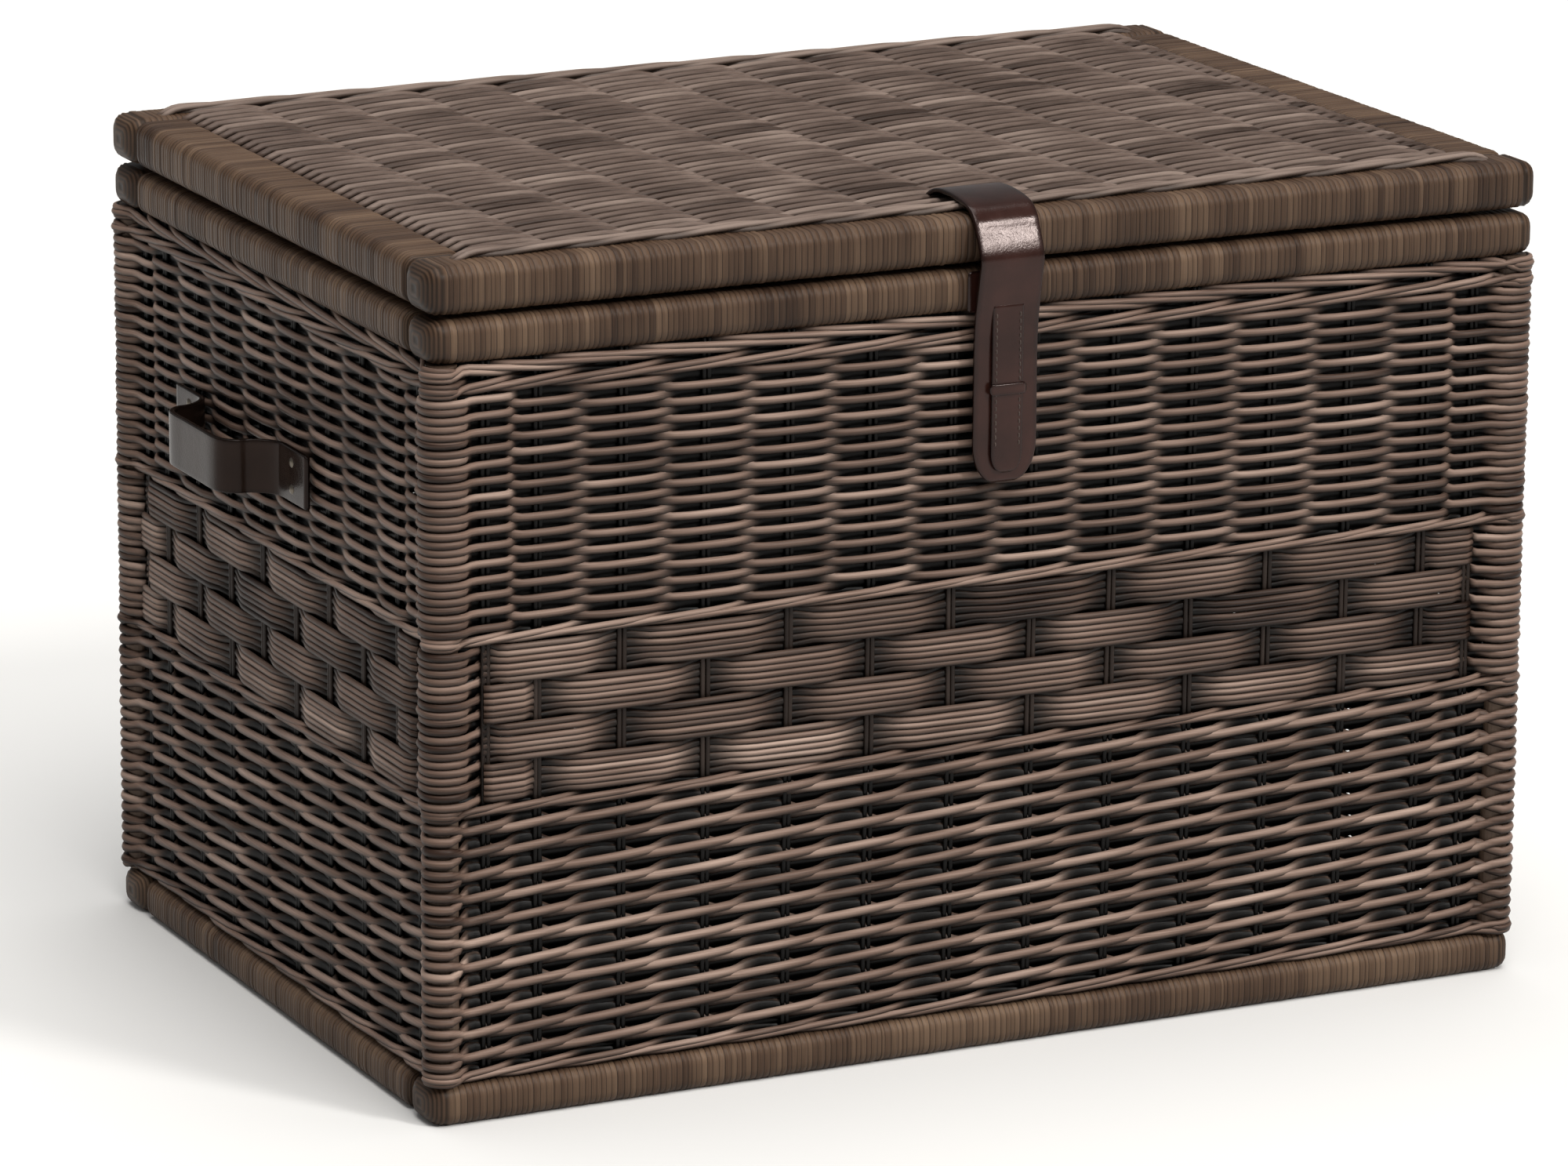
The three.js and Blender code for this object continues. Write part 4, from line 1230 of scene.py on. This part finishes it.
# Corners of the strap's middle line in millimetres: outwards from its slit, from the rail's
# face or from where it hangs, and upwards from its end in the lid or from the lid's top.
SLIT_Y = mm(-181.0)
BELOW_THE_LID = ((32, 0), (7, 0), (1.4, 1.4), (0, 6))
ABOVE_THE_LID = ((-1.2, 0), (-14, 6.6), (-34, 7.4))
OVER_THE_EDGE = ((7, 4.4), (-1.2, -1.0), (-5.2, -8.5), (-9.2, -16.3), (-11.8, -24))
DOWN_THE_FRONT = ((-6.2, -32), (-3.8, -44), (-1.0, -60), (0, -76))


def strap_route():
    """The strap's middle line: out of the slit in the lid, over the front rail and down."""
    # Set forward a little, so that the magnet in its back stands proud.
    hang = (strap_low.y + strap_high.y) / 2 - mm(0.2)
    under = anchor_low.z + mm(1.5)
    corners = [(SLIT_Y + mm(y), under + mm(z)) for y, z in BELOW_THE_LID]
    corners += [(SLIT_Y + mm(y), LID_TOP + mm(z)) for y, z in ABOVE_THE_LID]
    corners += [(-HALF_Y + mm(y), LID_TOP + mm(z)) for y, z in OVER_THE_EDGE]
    corners += [(hang + mm(y), LID_TOP + mm(z)) for y, z in DOWN_THE_FRONT]
    corners += [(hang, (LID_TOP + strap_low.z) / 2 - mm(20)), (hang, strap_low.z)]
    return smooth_route([(0.0, y, z) for y, z in corners])


KEEPER_Z = mm(399.5)
SIDES = (("left", -1), ("right", 1))


def add_strap():
    half_wide = float(strap_high.x - strap_low.x) / 2
    strap = leather_band("leather_strap", strap_route(), (1, 0, 0), half_wide, mm(1.35),
                         tip=(mm(24.0), mm(9.0)), seed=61)
    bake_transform(strap)
    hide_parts("strap_anchor", "strap_tail")

    face = (tongue_low.y + tongue_high.y) / 2
    levels = (tongue_high.z, tongue_low.z + mm(50), tongue_low.z)
    route = smooth_route([(0.0, face, z) for z in levels], step=mm(1.5))
    tongue = leather_band("leather_tongue", route, (1, 0, 0),
                          float(tongue_high.x - tongue_low.x) / 2, mm(1.15),
                          tip=(mm(12.0), mm(4.5)), seed=62, wave=mm(0.08))
    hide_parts("strap_tongue")
    rows = []
    for side, sign in SIDES:
        top = Vector((sign * mm(7.6), tongue_low.y, tongue_high.z - mm(3)))
        low = Vector((sign * mm(7.6), tongue_low.y, tongue_low.z + mm(13)))
        rows.append(stitches(f"tongue_stitches_{side}",
                             smooth_route([top, (top + low) / 2, low]), (0, -1, 0)))
    route = smooth_route([(mm(x), face - mm(bow), KEEPER_Z)
                          for x, bow in ((-11.8, 1.5), (0.0, 2.0), (11.8, 1.5))], step=mm(1.5))
    keeper = leather_band("leather_keeper", route, (0, 0, 1), mm(3.4), mm(1.0), seed=63, wave=0.0)
    for piece in [tongue, keeper, *rows]:
        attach(piece, "strap")

    middle = (backing_low.y + backing_high.y) / 2 + mm(0.15)
    route = smooth_route([(0.0, middle, backing_high.z), (0.0, middle, backing_low.z)],
                         step=mm(1.5))
    backing = leather_band("leather_backing", route, (1, 0, 0),
                           float(backing_high.x - backing_low.x) / 2,
                           float(backing_high.y - backing_low.y) / 2 - mm(0.15), seed=64,
                           wave=0.0)
    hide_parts("strap_backing")
    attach(backing, "trunk")


HANDLE_BEND = mm(16.0)
HANDLE_HALF_WIDE = mm(16.0)
HANDLE_HALF_THICK = mm(1.75)


def handle_route(sign):
    """One handle's middle line seen from above: a foot, a bowed loop and the other foot."""
    low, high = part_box("handle_right")
    foot_low, foot_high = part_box("handle_right_foot_front")
    _, back_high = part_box("handle_right_foot_back")
    middle_y = (foot_low.y + back_high.y) / 2
    middle_z = (low.z + high.z) / 2
    flat = float(foot_low.x + foot_high.x) / 2 - mm(0.1)
    reach = float(high.x) - HANDLE_HALF_THICK
    root = float(high.y - low.y) / 2
    bend = root - mm(10.0)
    end = float(back_high.y) - middle_y
    half = [(flat, end), (flat, end - mm(18)), (flat, root + mm(9)), (flat + mm(1.4), root + mm(2)),
            (flat + mm(6.0), root - mm(4.6)), (reach - HANDLE_BEND, bend - mm(0.5))]
    for turn in (30, 60, 90):
        angle = math.radians(turn)
        half.append((reach - HANDLE_BEND * (1 - math.sin(angle)),
                     bend - HANDLE_BEND * (1 - math.cos(angle))))
    half.append((reach, mm(12.0)))
    other = [(x, -y) for x, y in reversed(half)]
    return smooth_route([(sign * x, middle_y + y, middle_z) for x, y in half + other],
                        step=mm(1.8))


# Radius and rise of a rivet head's rings from its middle outwards, in millimetres.
RIVET_PROFILE = ((0.0, 1.9), (1.3, 1.75), (2.4, 1.3), (3.2, 0.55), (3.5, 0.35), (3.9, 0.28),
                 (4.1, 0.1), (4.1, -1.2))


def rivet(name, place, sign):
    """A domed rivet head with a thin rim, standing on a foot and facing out."""
    sides = 20
    verts = []
    for radius, rise in RIVET_PROFILE:
        for step in range(sides):
            angle = 2 * math.pi * step / sides
            verts.append((place[0] + sign * mm(rise), place[1] + mm(radius) * math.cos(angle),
                          place[2] + mm(radius) * math.sin(angle) * sign))
    loops, starts = [], []
    last = len(RIVET_PROFILE) - 1
    for row in range(last):
        for step in range(sides):
            after = (step + 1) % sides
            starts.append(len(loops))
            loops += [row * sides + step, (row + 1) * sides + step,
                      (row + 1) * sides + after, row * sides + after]
    starts.append(len(loops))
    loops += [last * sides + step for step in reversed(range(sides))]
    return make_mesh(name, verts, loops, starts, metal_material)


def add_handles():
    for side, sign in SIDES:
        route = handle_route(sign)
        band = leather_band(f"leather_handle_{side}", route, (0, 0, 1), HANDLE_HALF_WIDE,
                            HANDLE_HALF_THICK, seed=65 + sign, wave=mm(0.3),
                            material=handle_material)
        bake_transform(band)
        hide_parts(f"handle_{side}", f"handle_{side}_foot_front",
                    f"handle_{side}_foot_back")
        for end in ("front", "back"):
            low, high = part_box(f"handle_{side}_foot_{end}")
            face = float(high.x if sign > 0 else low.x) - sign * mm(1.2)
            middle = Vector((face, (low.y + high.y) / 2, (low.z + high.z) / 2))
            for label, level in (("low", -1), ("high", 1)):
                spot = middle + Vector((0.0, 0.0, level * mm(8.0)))
                head = rivet(f"rivet_{side}_{end}_{label}", spot, sign)
                seam = [middle + Vector((0.0, y * mm(17.0), level * mm(13.4))) for y in (-1, 0, 1)]
                thread = stitches(f"foot_stitches_{side}_{end}_{label}",
                                  smooth_route(seam), (sign, 0, 0))
                for piece, slot in ((head, "antique_steel"), (thread, "leather")):
                    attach(piece, "trunk")


# ---- The CAD pieces that are shown as they are ------------------------------------------------

def dress_cad_pieces():
    materials = {
        "corner_post": pole_material, "floor_batten": wood_material, "lid_batten": wood_material,
        "hinge": metal_material, "stay": metal_material, "strap_magnet": magnet_material,
        "body_magnet": magnet_material,
    }
    for name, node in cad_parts.items():
        for prefix, material in materials.items():
            if name.startswith(prefix):
                for place in node.material_slots:
                    place.link = "OBJECT"
                    place.material = material


add_rails()
add_weaves()
add_strap()
add_handles()
dress_cad_pieces()
